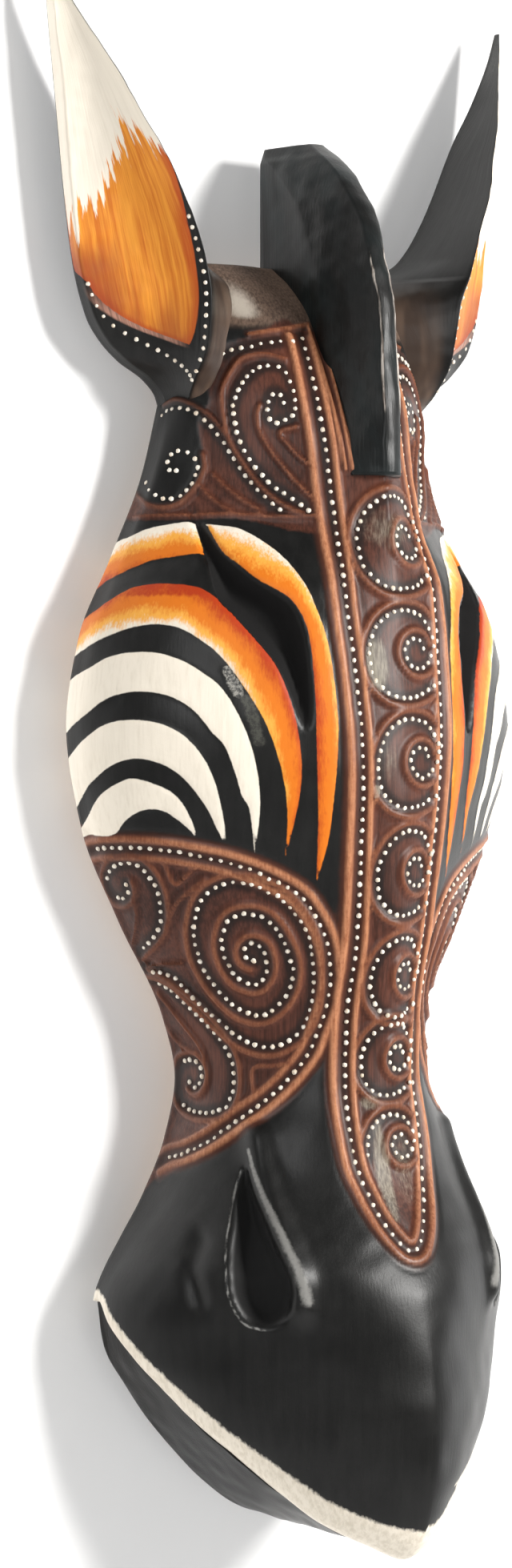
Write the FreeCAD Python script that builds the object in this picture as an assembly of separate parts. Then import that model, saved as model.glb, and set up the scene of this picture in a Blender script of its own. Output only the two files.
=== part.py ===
"""Carved and painted zebra-head wall mask, built the way a carver glues one up.

A face block hollowed from behind, a lower jaw, two ears and a mane crest are separate pieces of
light wood, pinned with dowels.  A plate with a swinging ring is screwed into a pocket behind the
crown and hangs on a nail.

All lengths are millimetres.  The carving is drawn with heights measured up from the chin, +X to
the viewer's right, -Y out of the wall and the wall itself at Y = 0.  Each piece is then lowered
by NAIL_HEIGHT, so the packed origin is the point of the wall where the nail carries the ring.
"""

import FreeCAD, Part

import math
import os

# ---------------------------------------------------------------- driving dimensions
CROWN_TOP = 409.0
MANE_TOP = 449.0
NAIL_HEIGHT = 382.0

# Outline and relief of the head, as (height above the chin, value).
HALF_WIDTH = [(-3, 5), (1, 12), (6, 21), (11, 28.5), (18, 35.5), (29, 45.5), (39, 55), (50, 63),
              (60, 69.5), (72, 74), (79, 73), (86, 70), (97, 63), (110, 54.5), (128, 46), (147, 42),
              (167, 47), (198, 64), (228, 78), (260, 83.5), (287, 79), (313, 67), (340, 55),
              (364, 48.5), (409, 36)]
RIDGE_DEPTH = [(-3, 67), (0, 71), (5, 75.5), (15, 79.5), (30, 82), (45, 82.5), (60, 80.5),
               (80, 77), (97, 70.5), (122, 60), (147, 57), (173, 59.5), (210, 65), (245, 67.5),
               (290, 64.5), (338, 57), (364, 46), (390, 30), (402, 19), (409, 9)]
EDGE_DEPTH = [(-3, 62), (15, 50), (30, 39), (60, 15), (72, 7), (90, 8), (380, 8), (409, 5)]
ROUNDNESS = [(-3, 1.5), (5, 1.35), (30, 1.45), (60, 1.5), (80, 1.73), (92, 2.0), (128, 2.1),
             (147, 1.8), (180, 1.42), (210, 1.4), (262, 1.6), (300, 1.54), (326, 1.2), (340, 1.2),
             (365, 1.54), (409, 2.2)]

# The mouth is a flat saw cut: its distance from the wall falls as it climbs from chin to corner.
MOUTH_DEPTH_AT_CHIN = 64.0
MOUTH_SLOPE = 0.78
MOUTH_CORNER = 76.0

# Lower jaw, front view, as (height, half width): a straight-sided board behind the lip.
JAW_OUTLINE = [(1, 0), (3.5, 12), (8, 21.5), (16, 32), (23, 39.5), (37, 52.5), (50, 62),
               (62, 69.5), (77.5, 72)]

# Ear, as (height, distance from the centre line, distance from the wall) along three edges.
EAR_OUTER_RIM = [(362, 48.5), (366, 50), (371, 55), (376, 64), (382, 71), (389, 76), (405, 81),
                 (424, 84), (460, 88), (483, 90.5), (499, 92)]
EAR_FRONT_RIM = [(362, 46, 12), (371, 48.5, 22), (380, 49, 29), (396, 50, 32.5), (410, 54, 33.5),
                 (424, 59, 32.5), (440, 66, 29), (455, 72.5, 23.5), (470, 79, 17), (485, 85.5, 9.5),
                 (499, 91.4, 2.5)]
EAR_INNER_EDGE = [(362, 40), (380, 35), (400, 29), (408, 35), (417, 49), (431, 59), (460, 73),
                  (473, 80.5), (489, 88), (499, 91.2)]
EAR_EDGE_THICKNESS = 1.6
EAR_RIM_THICKNESS = 5.0
EAR_DISH = 4.0
EAR_ROOT_TOP = 31.0
EAR_ROOT_TILT = 12.0 / 47.0

# Mane crest, side view, as (distance from the wall, height) down the front from the top.
MANE_FRONT = [(20, 449), (31, 442), (39, 434), (46, 425), (52, 412), (56, 400), (59, 375),
              (60, 356), (60, 339)]
MANE_REAR = 2.0
MANE_SEAT = 6.0
MANE_EDGE_HALF = 3.5
MANE_BASE_HALF = 9.5
MANE_BEVEL = 22.0

HOLLOW_BOTTOM = 92.0
HOLLOW_TOP = 332.0
HOLLOW_SIDE_WALL = 15.0
HOLLOW_FRONT_WALL = 17.0

DOWEL_RADIUS = 3.0
SHORT_DOWEL = 16.0
LONG_DOWEL = 24.0
EAR_DOWEL_HEIGHTS = (374.0, 390.0)
EAR_DOWEL_DEPTHS = (12.0, 16.0)
MANE_DOWEL_HEIGHTS = (360.0, 384.0)
JAW_DOWEL_OFFSET = 22.0
JAW_DOWEL_HEIGHT = 33.0

POCKET_WIDTH = 26.0
POCKET_BOTTOM = 338.0
POCKET_TOP = 392.0
POCKET_DEPTH = 8.0
POCKET_CORNER = 5.0
PLATE_WIDTH = 12.0
PLATE_THICK = 1.2
PLATE_BOTTOM = 341.0
RING_WIRE = 1.1
RING_HALF_WIDTH = 8.5
RING_CLEAR = 0.35
RING_BEND = 2.5
PIVOT_HEIGHT = 366.0
PIVOT_DEPTH = 4.6
SCREW_HEIGHTS = (346.0, 355.0)
SCREW_HEAD_RADIUS = 3.2
SCREW_SHANK_RADIUS = 1.4
SCREW_LENGTH = 12.0

BACK_WASTE = 6.0
FRONT_POINTS = 19
STEP_UP = 11.0
V = FreeCAD.Vector


# ---------------------------------------------------------------- curves
def smooth(knots, at):
    """A smooth curve through (position, value, ...) knots that never overshoots them."""
    column = [k[0] for k in knots]
    at = min(max(at, column[0]), column[-1])
    i = max(j for j in range(len(knots) - 1) if column[j] <= at)
    share = (at - column[i]) / (column[i + 1] - column[i])
    found = []
    for axis in range(1, len(knots[0])):
        value = [k[axis] for k in knots]

        def slope(j):
            if j == 0 or j == len(knots) - 1:
                a, b = (0, 1) if j == 0 else (j - 1, j)
                return (value[b] - value[a]) / (column[b] - column[a])
            before = (value[j] - value[j - 1]) / (column[j] - column[j - 1])
            after = (value[j + 1] - value[j]) / (column[j + 1] - column[j])
            if before * after <= 0:
                return 0.0
            return 2 * before * after / (before + after)

        span = column[i + 1] - column[i]
        s2, s3 = share ** 2, share ** 3
        found.append(
            (2 * s3 - 3 * s2 + 1) * value[i]
            + (s3 - 2 * s2 + share) * span * slope(i)
            + (3 * s2 - 2 * s3) * value[i + 1]
            + (s3 - s2) * span * slope(i + 1)
        )
    return found[0] if len(found) == 1 else found


def heights(low, high, step):
    """Evenly spaced heights from low to high, no further apart than step."""
    count = math.ceil((high - low) / step)
    return [low + (high - low) * i / count for i in range(count + 1)]


def spline(points):
    """A curve through points, with the same even parameters on every section of a loft."""
    curve = Part.BSplineCurve()
    even = [i / (len(points) - 1) for i in range(len(points))]
    curve.interpolate(Points=points, Parameters=even)
    return curve.toShape()


def line(a, b):
    return Part.LineSegment(a, b).toShape()


def arch(half_width, top, foot, roundness):
    """Points of a rounded arch from -half_width to +half_width, standing foot off the wall."""
    points = []
    for i in range(FRONT_POINTS):
        angle = math.pi * i / (FRONT_POINTS - 1)
        across = -math.copysign(abs(math.cos(angle)) ** (2 / roundness), math.cos(angle))
        out = math.sin(angle) ** (2 / roundness) if 0 < i < FRONT_POINTS - 1 else 0.0
        points.append((half_width * across, foot + (top - foot) * out))
    return points


def head_section(height):
    """Closed outline of the head at one height: wall, two sides and the rounded front."""
    half = smooth(HALF_WIDTH, height)
    edge = smooth(EDGE_DEPTH, height)
    top = smooth(RIDGE_DEPTH, height)
    front = [V(x, -out, height) for x, out in arch(half, top, edge, smooth(ROUNDNESS, height))]
    left, right = V(-half, BACK_WASTE, height), V(half, BACK_WASTE, height)
    return Part.Wire([line(right, left), line(left, front[0]), spline(front), line(front[-1], right)])


def head_loft():
    low, high = HALF_WIDTH[0][0], CROWN_TOP
    levels = [low, 0, 4, 9, 16] + heights(24, 402, STEP_UP) + [high]
    rough = Part.makeLoft([head_section(h) for h in levels], True, False)
    return rough.cut(half_space(V(0, 0, 0), V(0, 1, 0)))


def head_depth(across, height):
    """How far the head's surface stands off the wall at one place."""
    half, edge = smooth(HALF_WIDTH, height), smooth(EDGE_DEPTH, height)
    power = smooth(ROUNDNESS, height)
    level = max(0.0, 1 - min(1.0, abs(across) / half) ** power) ** (1 / power)
    return edge + (smooth(RIDGE_DEPTH, height) - edge) * level


def half_space(point, outward, reach=900.0):
    """A big block on the outward side of a plane."""
    block = Part.makeBox(reach, reach, reach, V(-reach / 2, -reach / 2, 0))
    block.Placement = FreeCAD.Placement(point, FreeCAD.Rotation(V(0, 0, 1), outward))
    return block


def rod(centre, along, radius, length):
    """A cylinder of that length with its middle at centre."""
    unit = V(along).normalize()
    return Part.makeCylinder(radius, length, centre - unit * (length / 2), unit)


# ---------------------------------------------------------------- joints between the pieces
def mouth_cut():
    """The block behind and below the mouth's flat saw cut."""
    outward = V(0, 1, -MOUTH_SLOPE).normalize()
    behind = half_space(V(0, -MOUTH_DEPTH_AT_CHIN, 0), outward)
    below = Part.makeBox(400, 400, 400, V(-200, -200, MOUTH_CORNER + 1.5 - 400))
    return behind.common(below)


def ear_joint(height):
    """Distance of the flat joint between ear and crown from the centre line."""
    return EAR_ROOT_TOP + (CROWN_TOP - height) * EAR_ROOT_TILT


def ear_side(side):
    """The block outside one ear's flat joint with the crown."""
    outward = V(side, 0, EAR_ROOT_TILT).normalize()
    outside = half_space(V(side * EAR_ROOT_TOP, 0, CROWN_TOP), outward)
    above = Part.makeBox(400, 400, 400, V(-200, -200, EAR_OUTER_RIM[0][0] - 6))
    return outside.common(above)


def ear_dowels(side):
    along = V(side, 0, EAR_ROOT_TILT)
    made = []
    for height, depth in zip(EAR_DOWEL_HEIGHTS, EAR_DOWEL_DEPTHS):
        centre = V(side * ear_joint(height), -depth, height)
        made.append(rod(centre, along, DOWEL_RADIUS, SHORT_DOWEL))
    return made


def mane_dowels():
    made = []
    for height in MANE_DOWEL_HEIGHTS:
        seat = smooth(RIDGE_DEPTH, height) - MANE_SEAT
        made.append(rod(V(0, -seat, height), V(0, 1, 0), DOWEL_RADIUS, SHORT_DOWEL))
    return made


def jaw_dowels():
    depth = MOUTH_DEPTH_AT_CHIN - MOUTH_SLOPE * JAW_DOWEL_HEIGHT
    along = V(0, -1, MOUTH_SLOPE)
    return [
        rod(V(side * JAW_DOWEL_OFFSET, -depth, JAW_DOWEL_HEIGHT), along, DOWEL_RADIUS, LONG_DOWEL)
        for side in (-1, 1)
    ]


# ---------------------------------------------------------------- carved pieces
def hollow():
    """The scoop behind the face, domed at both ends."""
    middle = (HOLLOW_BOTTOM + HOLLOW_TOP) / 2
    reach = (HOLLOW_TOP - HOLLOW_BOTTOM) / 2
    sections = []
    levels = heights(HOLLOW_BOTTOM + 8, HOLLOW_TOP - 8, 2 * STEP_UP)
    for height in [HOLLOW_BOTTOM, HOLLOW_BOTTOM + 3] + levels + [HOLLOW_TOP - 3, HOLLOW_TOP]:
        fade = (1.04 - abs((height - middle) / reach) ** 5) ** 0.5
        half = fade * (smooth(HALF_WIDTH, height) - HOLLOW_SIDE_WALL)
        deep = fade * (smooth(RIDGE_DEPTH, height) - HOLLOW_FRONT_WALL)
        points = [V(x, -out, height) for x, out in arch(half, deep, 0.0, 1.8)]
        back = [V(points[-1].x, BACK_WASTE, height), V(points[0].x, BACK_WASTE, height)]
        sections.append(Part.Wire([
            spline(points), line(points[-1], back[0]), line(back[0], back[1]),
            line(back[1], points[0]),
        ]))
    return Part.makeLoft(sections, True, False)


def lower_jaw():
    """Board with a rounded outline, planed off along the mouth cut."""
    outline = [V(-half, 0, h) for h, half in reversed(JAW_OUTLINE[1:])]
    outline += [V(half, 0, h) for h, half in JAW_OUTLINE]
    board = Part.Face(Part.Wire([spline(outline), line(outline[-1], outline[0])]))
    return board.extrude(V(0, -MOUTH_DEPTH_AT_CHIN, 0)).common(mouth_cut())


def pocket():
    """The flat-bottomed pocket behind the crown that takes the hanger."""
    block = Part.makeBox(POCKET_WIDTH, POCKET_DEPTH, POCKET_TOP - POCKET_BOTTOM,
                         V(-POCKET_WIDTH / 2, -POCKET_DEPTH, POCKET_BOTTOM))
    corners = [e for e in block.Edges if abs(e.tangentAt(e.FirstParameter).y) > 0.9]
    return block.makeFillet(POCKET_CORNER, corners)


def mane():
    """Crest with a flat rear part and a front that bevels to a narrow edge."""
    front = [V(0, -out, h) for out, h in MANE_FRONT]
    low = MANE_FRONT[-1][1]
    seat_levels = heights(low, 400, 12)
    seat = [V(0, -(smooth(RIDGE_DEPTH, h) - MANE_SEAT), h) for h in seat_levels]
    rear_top = V(0, -MANE_REAR, MANE_TOP - 9)
    corner = V(0, -MANE_REAR - 6, MANE_TOP)
    rear_low = V(0, -MANE_REAR, CROWN_TOP - MANE_SEAT)

    def outline(shift, pulled):
        """The side view at one distance from the middle, its front pulled back by pulled."""
        move = V(shift, 0, 0)
        bent = []
        for i, p in enumerate(front):
            share = min(1.0, i / 4)
            keep = 1.0 - 0.8 * max(0.0, (i - 5) / (len(front) - 6))
            bent.append(p + V(0, pulled * share * keep, -pulled * (1 - share) * 0.7))
        top = corner + V(0, 0, -0.7 * pulled)
        rear = rear_top + V(0, 0, -0.7 * pulled)
        return Part.Wire([
            line(rear + move, top + move), line(top + move, bent[0] + move),
            spline([p + move for p in bent]), line(bent[-1] + move, seat[0] + move),
            spline([p + move for p in seat]), line(seat[-1] + move, rear_low + move),
            line(rear_low + move, rear + move),
        ])

    core = Part.Face(outline(-MANE_EDGE_HALF, 0.0)).extrude(V(2 * MANE_EDGE_HALF, 0, 0))
    for side in (-1, 1):
        slope = [outline(side * MANE_EDGE_HALF, 0.0), outline(side * MANE_BASE_HALF, MANE_BEVEL)]
        core = core.fuse(Part.makeLoft(slope, True, True))
    return core.removeSplitter()


def ear(side):
    """Dished leaf-shaped ear: outer rim on the wall, front rim standing off it."""
    sections = []
    low, high = EAR_OUTER_RIM[0][0], EAR_OUTER_RIM[-1][0]
    for height in [low, 366, 371, 377] + heights(384, 488, STEP_UP) + [495, high]:
        outer = smooth(EAR_OUTER_RIM, height)
        across, out = smooth(EAR_FRONT_RIM, height)
        inner = smooth(EAR_INNER_EDGE, height)
        rim = min(EAR_RIM_THICKNESS, 0.5 * out)
        dish = EAR_DISH * min(1.0, (outer - across) / 25)
        edge_out = V(outer, -rim, 0)
        edge_front = V(across, -out, 0)
        face = (edge_front - edge_out)
        into = V(face.y, -face.x, 0).normalize()
        if into.y < 0:
            into = -into
        hollowed = [edge_out + face * t + into * (dish * math.sin(math.pi * t) ** 0.8)
                    for t in (0.0, 0.25, 0.5, 0.75, 1.0)]
        valley = EAR_EDGE_THICKNESS
        if height < CROWN_TOP:
            valley = max(valley, head_depth(ear_joint(height), height))
        edge_in = V(inner, -valley, 0)
        flank = (edge_front + edge_in) * 0.5 + V(0.06 * (across - inner), 0, 0)
        level = V(0, 0, height)

        def put(p):
            return V(side * p.x, p.y, 0) + level

        sections.append(Part.Wire([
            line(put(V(inner, 0, 0)), put(V(outer, 0, 0))),
            line(put(V(outer, 0, 0)), put(edge_out)),
            spline([put(p) for p in hollowed]),
            spline([put(edge_front), put(flank), put(edge_in)]),
            line(put(edge_in), put(V(inner, 0, 0))),
        ]))
    return Part.makeLoft(sections, True, False)


# ---------------------------------------------------------------- hanger
def hanger_plate():
    """A folded strap: a flat tongue with two screw holes and a loop round the ring's bar."""
    floor = -POCKET_DEPTH
    tongue = Part.makeBox(PLATE_WIDTH, PLATE_THICK, PIVOT_HEIGHT - PLATE_BOTTOM,
                          V(-PLATE_WIDTH / 2, floor, PLATE_BOTTOM))
    pivot = V(-PLATE_WIDTH / 2, -PIVOT_DEPTH, PIVOT_HEIGHT)
    outer = RING_WIRE + RING_CLEAR + PLATE_THICK
    bore = Part.makeCylinder(RING_WIRE + RING_CLEAR, PLATE_WIDTH + 2, pivot - V(1, 0, 0), V(1, 0, 0))
    loop = Part.makeCylinder(outer, PLATE_WIDTH, pivot, V(1, 0, 0))
    web = Part.makeBox(PLATE_WIDTH, POCKET_DEPTH - PIVOT_DEPTH, outer,
                       V(-PLATE_WIDTH / 2, floor, PIVOT_HEIGHT - outer))
    plate = tongue.fuse([loop, web]).cut(bore)
    for height in SCREW_HEIGHTS:
        hole = rod(V(0, floor, height), V(0, 1, 0), SCREW_SHANK_RADIUS + 0.2, 6)
        plate = plate.cut(hole)
    return plate.removeSplitter()


def hanger_ring():
    """A wire D: straight bar through the plate's loop, legs and a round bow above it."""
    low = PIVOT_HEIGHT
    bow = NAIL_HEIGHT + RING_WIRE - RING_HALF_WIDTH
    half, bend = RING_HALF_WIDTH, RING_BEND
    turn = bend * (1 - math.sqrt(0.5))

    def at(x, height):
        return V(x, -PIVOT_DEPTH, height)

    path = Part.Wire([
        line(at(-half + bend, low), at(half - bend, low)),
        Part.Arc(at(half - bend, low), at(half - turn, low + turn), at(half, low + bend)).toShape(),
        line(at(half, low + bend), at(half, bow)),
        Part.Arc(at(half, bow), at(0, bow + half), at(-half, bow)).toShape(),
        line(at(-half, bow), at(-half, low + bend)),
        Part.Arc(at(-half, low + bend), at(-half + turn, low + turn), at(-half + bend, low)).toShape(),
    ])
    circle = Part.Wire([Part.Circle(at(-half + bend, low), V(1, 0, 0), RING_WIRE).toShape()])
    return path.makePipeShell([circle], True, True)


def hanger_screws():
    made = []
    for height in SCREW_HEIGHTS:
        seat = V(0, -POCKET_DEPTH + PLATE_THICK, height)
        head = Part.makeSphere(2 * SCREW_HEAD_RADIUS, seat - V(0, 1.75 * SCREW_HEAD_RADIUS, 0))
        head = head.common(Part.makeCylinder(SCREW_HEAD_RADIUS, 5, seat, V(0, 1, 0)))
        slot = Part.makeBox(2 * SCREW_HEAD_RADIUS, 2, 0.8, seat + V(-SCREW_HEAD_RADIUS, 0.9, -0.4))
        shank = Part.makeCylinder(SCREW_SHANK_RADIUS, SCREW_LENGTH - 3, seat, V(0, -1, 0))
        tip = Part.makeCone(SCREW_SHANK_RADIUS, 0.2, 3, seat - V(0, SCREW_LENGTH - 3, 0), V(0, -1, 0))
        made.append(head.cut(slot).fuse([shank, tip]).removeSplitter())
    return made


# ---------------------------------------------------------------- assembly
def build():
    crest = mane()
    screws = hanger_screws()
    ears = {side: ear(side).common(ear_side(side)) for side in (-1, 1)}
    pins = {side: ear_dowels(side) for side in (-1, 1)}
    crest_pins, chin_pins = mane_dowels(), jaw_dowels()

    face = head_loft().cut([mouth_cut(), ear_side(-1), ear_side(1), hollow(), pocket()])
    face = face.cut([crest, *screws, *crest_pins, *chin_pins, *pins[-1], *pins[1]])
    return {
        "face": [face],
        "lower_jaw": [lower_jaw().cut(chin_pins)],
        "mane": [crest.cut(crest_pins)],
        "ear_left": [ears[-1].cut(pins[-1])],
        "ear_right": [ears[1].cut(pins[1])],
        "ear_dowels": pins[-1] + pins[1],
        "mane_dowels": crest_pins,
        "jaw_dowels": chin_pins,
        "hanger_plate": [hanger_plate()],
        "hanger_ring": [hanger_ring()],
        "hanger_screws": screws,
    }


def solids_of(shapes):
    return [solid for shape in shapes for solid in shape.Solids]


os.makedirs("parts", exist_ok=True)
for node, shapes in build().items():
    solids = solids_of(shapes)
    group = Part.makeCompound(solids) if len(solids) > 1 else solids[0]
    group = group.translated(V(0, 0, -NAIL_HEIGHT))
    group.exportStep(f"parts/{node}.step")
    print(node, len(solids), "solids", round(group.Volume / 1000, 2), "cm3", group.isValid())
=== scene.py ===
"""A carved zebra-head wall mask: dark stained wood, rubbed ridges, painted stripes and raised dots."""
import math

import bmesh
import bpy
import numpy as np
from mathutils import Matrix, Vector, geometry


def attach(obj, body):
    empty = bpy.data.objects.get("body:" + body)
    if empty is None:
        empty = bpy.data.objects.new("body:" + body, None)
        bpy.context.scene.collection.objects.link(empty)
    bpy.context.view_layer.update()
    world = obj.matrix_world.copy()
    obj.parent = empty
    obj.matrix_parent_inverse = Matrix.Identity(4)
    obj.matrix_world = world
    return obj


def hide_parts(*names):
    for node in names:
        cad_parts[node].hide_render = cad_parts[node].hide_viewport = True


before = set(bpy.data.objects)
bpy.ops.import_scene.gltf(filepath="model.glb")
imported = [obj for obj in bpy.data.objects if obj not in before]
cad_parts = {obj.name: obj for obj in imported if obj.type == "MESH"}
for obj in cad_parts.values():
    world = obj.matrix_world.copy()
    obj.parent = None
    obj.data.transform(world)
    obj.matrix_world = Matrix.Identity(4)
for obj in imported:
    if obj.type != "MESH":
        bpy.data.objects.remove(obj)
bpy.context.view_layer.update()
rng = np.random.default_rng(7)

# ------------------------------------------------------------------ measurements, millimetres
# Heights run up from the chin, depths run out from the wall.
NAIL_HEIGHT = 382.0
CHIN, CROWN = -3.0, 409.0
HALF_WIDTH = [(-3, 5), (1, 12), (6, 21), (11, 28.5), (18, 35.5), (29, 45.5), (39, 55), (50, 63),
              (60, 69.5), (72, 74), (79, 73), (86, 70), (97, 63), (110, 54.5), (128, 46), (147, 42),
              (167, 47), (198, 64), (228, 78), (260, 83.5), (287, 79), (313, 67), (340, 55),
              (364, 48.5), (409, 36)]
RIDGE_DEPTH = [(-3, 67), (0, 71), (5, 75.5), (15, 79.5), (30, 82), (45, 82.5), (60, 80.5),
               (80, 77), (97, 70.5), (122, 60), (147, 57), (173, 59.5), (210, 65), (245, 67.5),
               (290, 64.5), (338, 57), (364, 46), (390, 30), (402, 19), (409, 9)]
EDGE_DEPTH = [(-3, 62), (15, 50), (30, 39), (60, 15), (72, 7), (90, 8), (380, 8), (409, 5)]
ROUNDNESS = [(-3, 1.5), (5, 1.35), (30, 1.45), (60, 1.5), (80, 1.73), (92, 2.0), (128, 2.1),
             (147, 1.8), (180, 1.42), (210, 1.4), (262, 1.6), (300, 1.54), (326, 1.2), (340, 1.2),
             (365, 1.54), (409, 2.2)]
MOUTH_DEPTH, MOUTH_SLOPE, MOUTH_CORNER = 64.0, 0.78, 77.5

EAR_OUTER = [(362, 48.5), (366, 50), (371, 55), (376, 64), (382, 71), (389, 76), (405, 81),
             (424, 84), (460, 88), (483, 90.5), (499, 92)]
EAR_FRONT_X = [(362, 46), (371, 48.5), (380, 49), (396, 50), (410, 54), (424, 59), (440, 66),
               (455, 72.5), (470, 79), (485, 85.5), (499, 91.4)]
EAR_FRONT_DEPTH = [(362, 12), (371, 22), (380, 29), (396, 32.5), (410, 33.5), (424, 32.5), (440, 29),
                   (455, 23.5), (470, 17), (485, 9.5), (499, 2.5)]
EAR_INNER = [(362, 40), (380, 35), (400, 29), (408, 35), (417, 49), (431, 59), (460, 73),
             (473, 80.5), (489, 88), (499, 91.2)]
EAR_LOW, EAR_TIP = 362.0, 499.0

MANE_FRONT = [(339, 60), (356, 60), (375, 59), (400, 56), (412, 52), (425, 46), (434, 39),
              (442, 31), (449, 20)]
MANE_LOW, MANE_TOP = 339.0, 449.0

JAW_OUTLINE = [(1, 0), (3.5, 12), (8, 21.5), (16, 32), (23, 39.5), (37, 52.5), (50, 62),
               (62, 69.5), (77.5, 72)]
HOLLOW_LOW, HOLLOW_HIGH = 92.0, 332.0
POCKET_HALF, POCKET_LOW, POCKET_HIGH, POCKET_DEPTH, POCKET_CORNER = 13.0, 338.0, 392.0, 8.0, 5.0
EAR_DISH, EAR_RIM = 4.0, 5.0
WALL_GAP, STUDIO, FLOOR, CEILING = 0.012, 3.0, -1.0, 2.5    # metres

# ------------------------------------------------------------------ the painted and carved pattern
# Sideways places are measured along the surface from the centre ridge, then height.
BAND_LEFT = [(94, 0.3), (97, 3.2), (100.5, 6), (105, 8.6), (111, 10.2), (118, 12.2), (125, 13.3),
             (140, 14), (165, 14), (190, 13.1), (206, 13.7), (228, 14.5), (250, 15.2), (276, 16.6),
             (300, 18.1), (336, 18), (350, 17), (366, 16.1), (384, 14.6)]
BAND_RIGHT = [(94, 0.3), (97, 3.2), (105, 8.2), (110, 10.4), (118, 13.2), (125, 14.2), (140, 14.8),
              (160, 15.2), (190, 16), (213, 16.5), (240, 17), (283, 17.8), (310, 19), (336, 19.4),
              (350, 18.6), (384, 16.5)]
BAND_OUTER_GAP = [(94, 3.3), (150, 3.8), (300, 3.9), (340, 4.8), (384, 4.5)]
BAND_INNER_GAP = 2.5
CREST_LINES = [[(12.4, 341), (11.9, 365), (11.4, 388)], [(10.2, 341), (9.6, 360), (8.4, 380), (7, 391)],
               [(8.2, 341), (7.8, 360), (6.6, 376), (5, 389)]]

# One scroll of the band, in shares of its half width and half height, from its outer end inwards.
COIL = [(0.91, -0.73), (0.55, -0.91), (0.04, -1.02), (-0.47, -0.95), (-0.84, -0.62), (-0.96, -0.18),
        (-0.91, 0.25), (-0.66, 0.69), (-0.26, 0.95), (0.18, 1.0), (0.62, 0.89), (0.9, 0.58),
        (0.96, 0.18), (0.82, -0.16), (0.51, -0.33), (0.2, -0.28), (0.01, -0.04), (0.07, 0.22),
        (0.29, 0.35), (0.55, 0.31), (0.64, 0.15)]
BAND_COILS = [(2.2, 318, 14.7, 14.7), (1.6, 282.5, 13.7, 13.7), (2.3, 248, 12.8, 13.9),
              (2.9, 213.3, 11.6, 13.2), (3.1, 180.3, 10.8, 12.2), (1.7, 154.3, 11, 11.2),
              (1.2, 126.5, 10, 10.2)]

BROW_DOTS = [(18.8, 382.3), (22.5, 382.7), (26.5, 382), (30.5, 381.5), (38, 379.8), (41.3, 379), (46, 377.3)]
BROW_CURL = [(27.5, 362), (27.3, 364), (28.5, 365.3), (30.3, 365), (32.3, 362.5), (33.5, 359), (32.7, 356),
             (30, 355.8), (27.3, 357.3), (24.7, 359), (23.5, 362.5), (23.2, 368.5), (24.8, 373.2),
             (29, 374.5), (34.7, 372.8), (39.7, 368), (43.7, 361.5), (44.7, 355.3), (44, 348.7),
             (41.7, 343), (37.5, 336.8), (31, 331.7), (26, 327.8)]
TEMPLE_CURL = [(66.5, 341), (68.7, 340.5), (69.4, 343), (68, 346), (64, 347.5), (60.6, 345.4), (59.5, 342.2),
               (62.2, 336.5), (67, 332.5), (72.7, 332), (78, 336), (80.8, 341), (80, 347), (77.5, 353),
               (73.5, 357.5), (66, 360.8), (59.5, 360.7), (54.7, 357.7), (50, 350.7), (46.3, 342),
               (41, 334.3), (35, 328)]
CHEEK_BORDER = [(108, 220), (99, 221), (88.5, 221.3), (78, 220.7), (66.5, 219), (55, 216.5), (43.3, 212.2),
                (33.5, 206.8), (28, 200.8), (23.7, 194), (21.3, 187.2), (20, 179), (20.7, 171.5),
                (22.8, 164.5), (25.3, 157.2), (30, 150.7), (35.5, 145.2), (42, 140.2), (49, 136),
                (56.5, 131.6), (64, 127.6), (73.5, 124), (81, 122.3), (88, 119.5)]
CHEEK_CURL_HIGH = [(89.5, 209.5), (88.7, 207.5), (89.5, 205.5), (92, 205), (95.5, 205.5), (98, 208),
                   (98.5, 211), (95.7, 214), (91.5, 216), (86, 216), (81, 212), (78.3, 207), (76.9, 200),
                   (77.5, 195.3), (80.8, 191.3), (86.5, 187.7)]
CHEEK_CURL_LOW = [(70.5, 145.6), (68.5, 144.4), (66, 145), (64, 147.5), (64, 150.5), (67, 153), (73, 152),
                  (76.5, 148.5), (77.5, 143), (75.5, 139), (69, 137), (61.5, 137), (55.2, 138.7),
                  (51.5, 143.5), (50.8, 149.2), (52, 155), (57, 162), (63.3, 168), (71, 173.7),
                  (78, 177.7), (84, 179.6)]
CHEEK_SPIRAL = [(45, 185.4), (47.3, 186.3), (48.6, 188.6), (47.5, 190.9), (45, 191), (42.3, 189),
                (40.5, 183.3),
                (42, 178.9), (45, 178), (50.5, 180.5), (54.7, 187), (56, 192.5), (54.2, 198.8), (48.3, 200.6),
                (42.3, 198.7), (37, 192.8), (33, 185), (32.7, 177.7), (36, 171.5), (41.5, 168.2),
                (48.5, 169.7), (55, 174.8), (60, 180.7), (64, 188.3), (65.6, 197), (63.5, 205.3),
                (58, 209.5), (52, 210.5), (45, 209), (36.2, 203.7), (28.8, 194), (25.7, 182.5), (25.4, 172),
                (28.3, 163.8), (34.7, 159), (41, 158.2), (47.8, 160.3), (54, 164.5), (60.3, 169.7),
                (66.3, 174.8), (72.3, 179.5), (79.5, 181.7), (86, 182.3)]

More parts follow.
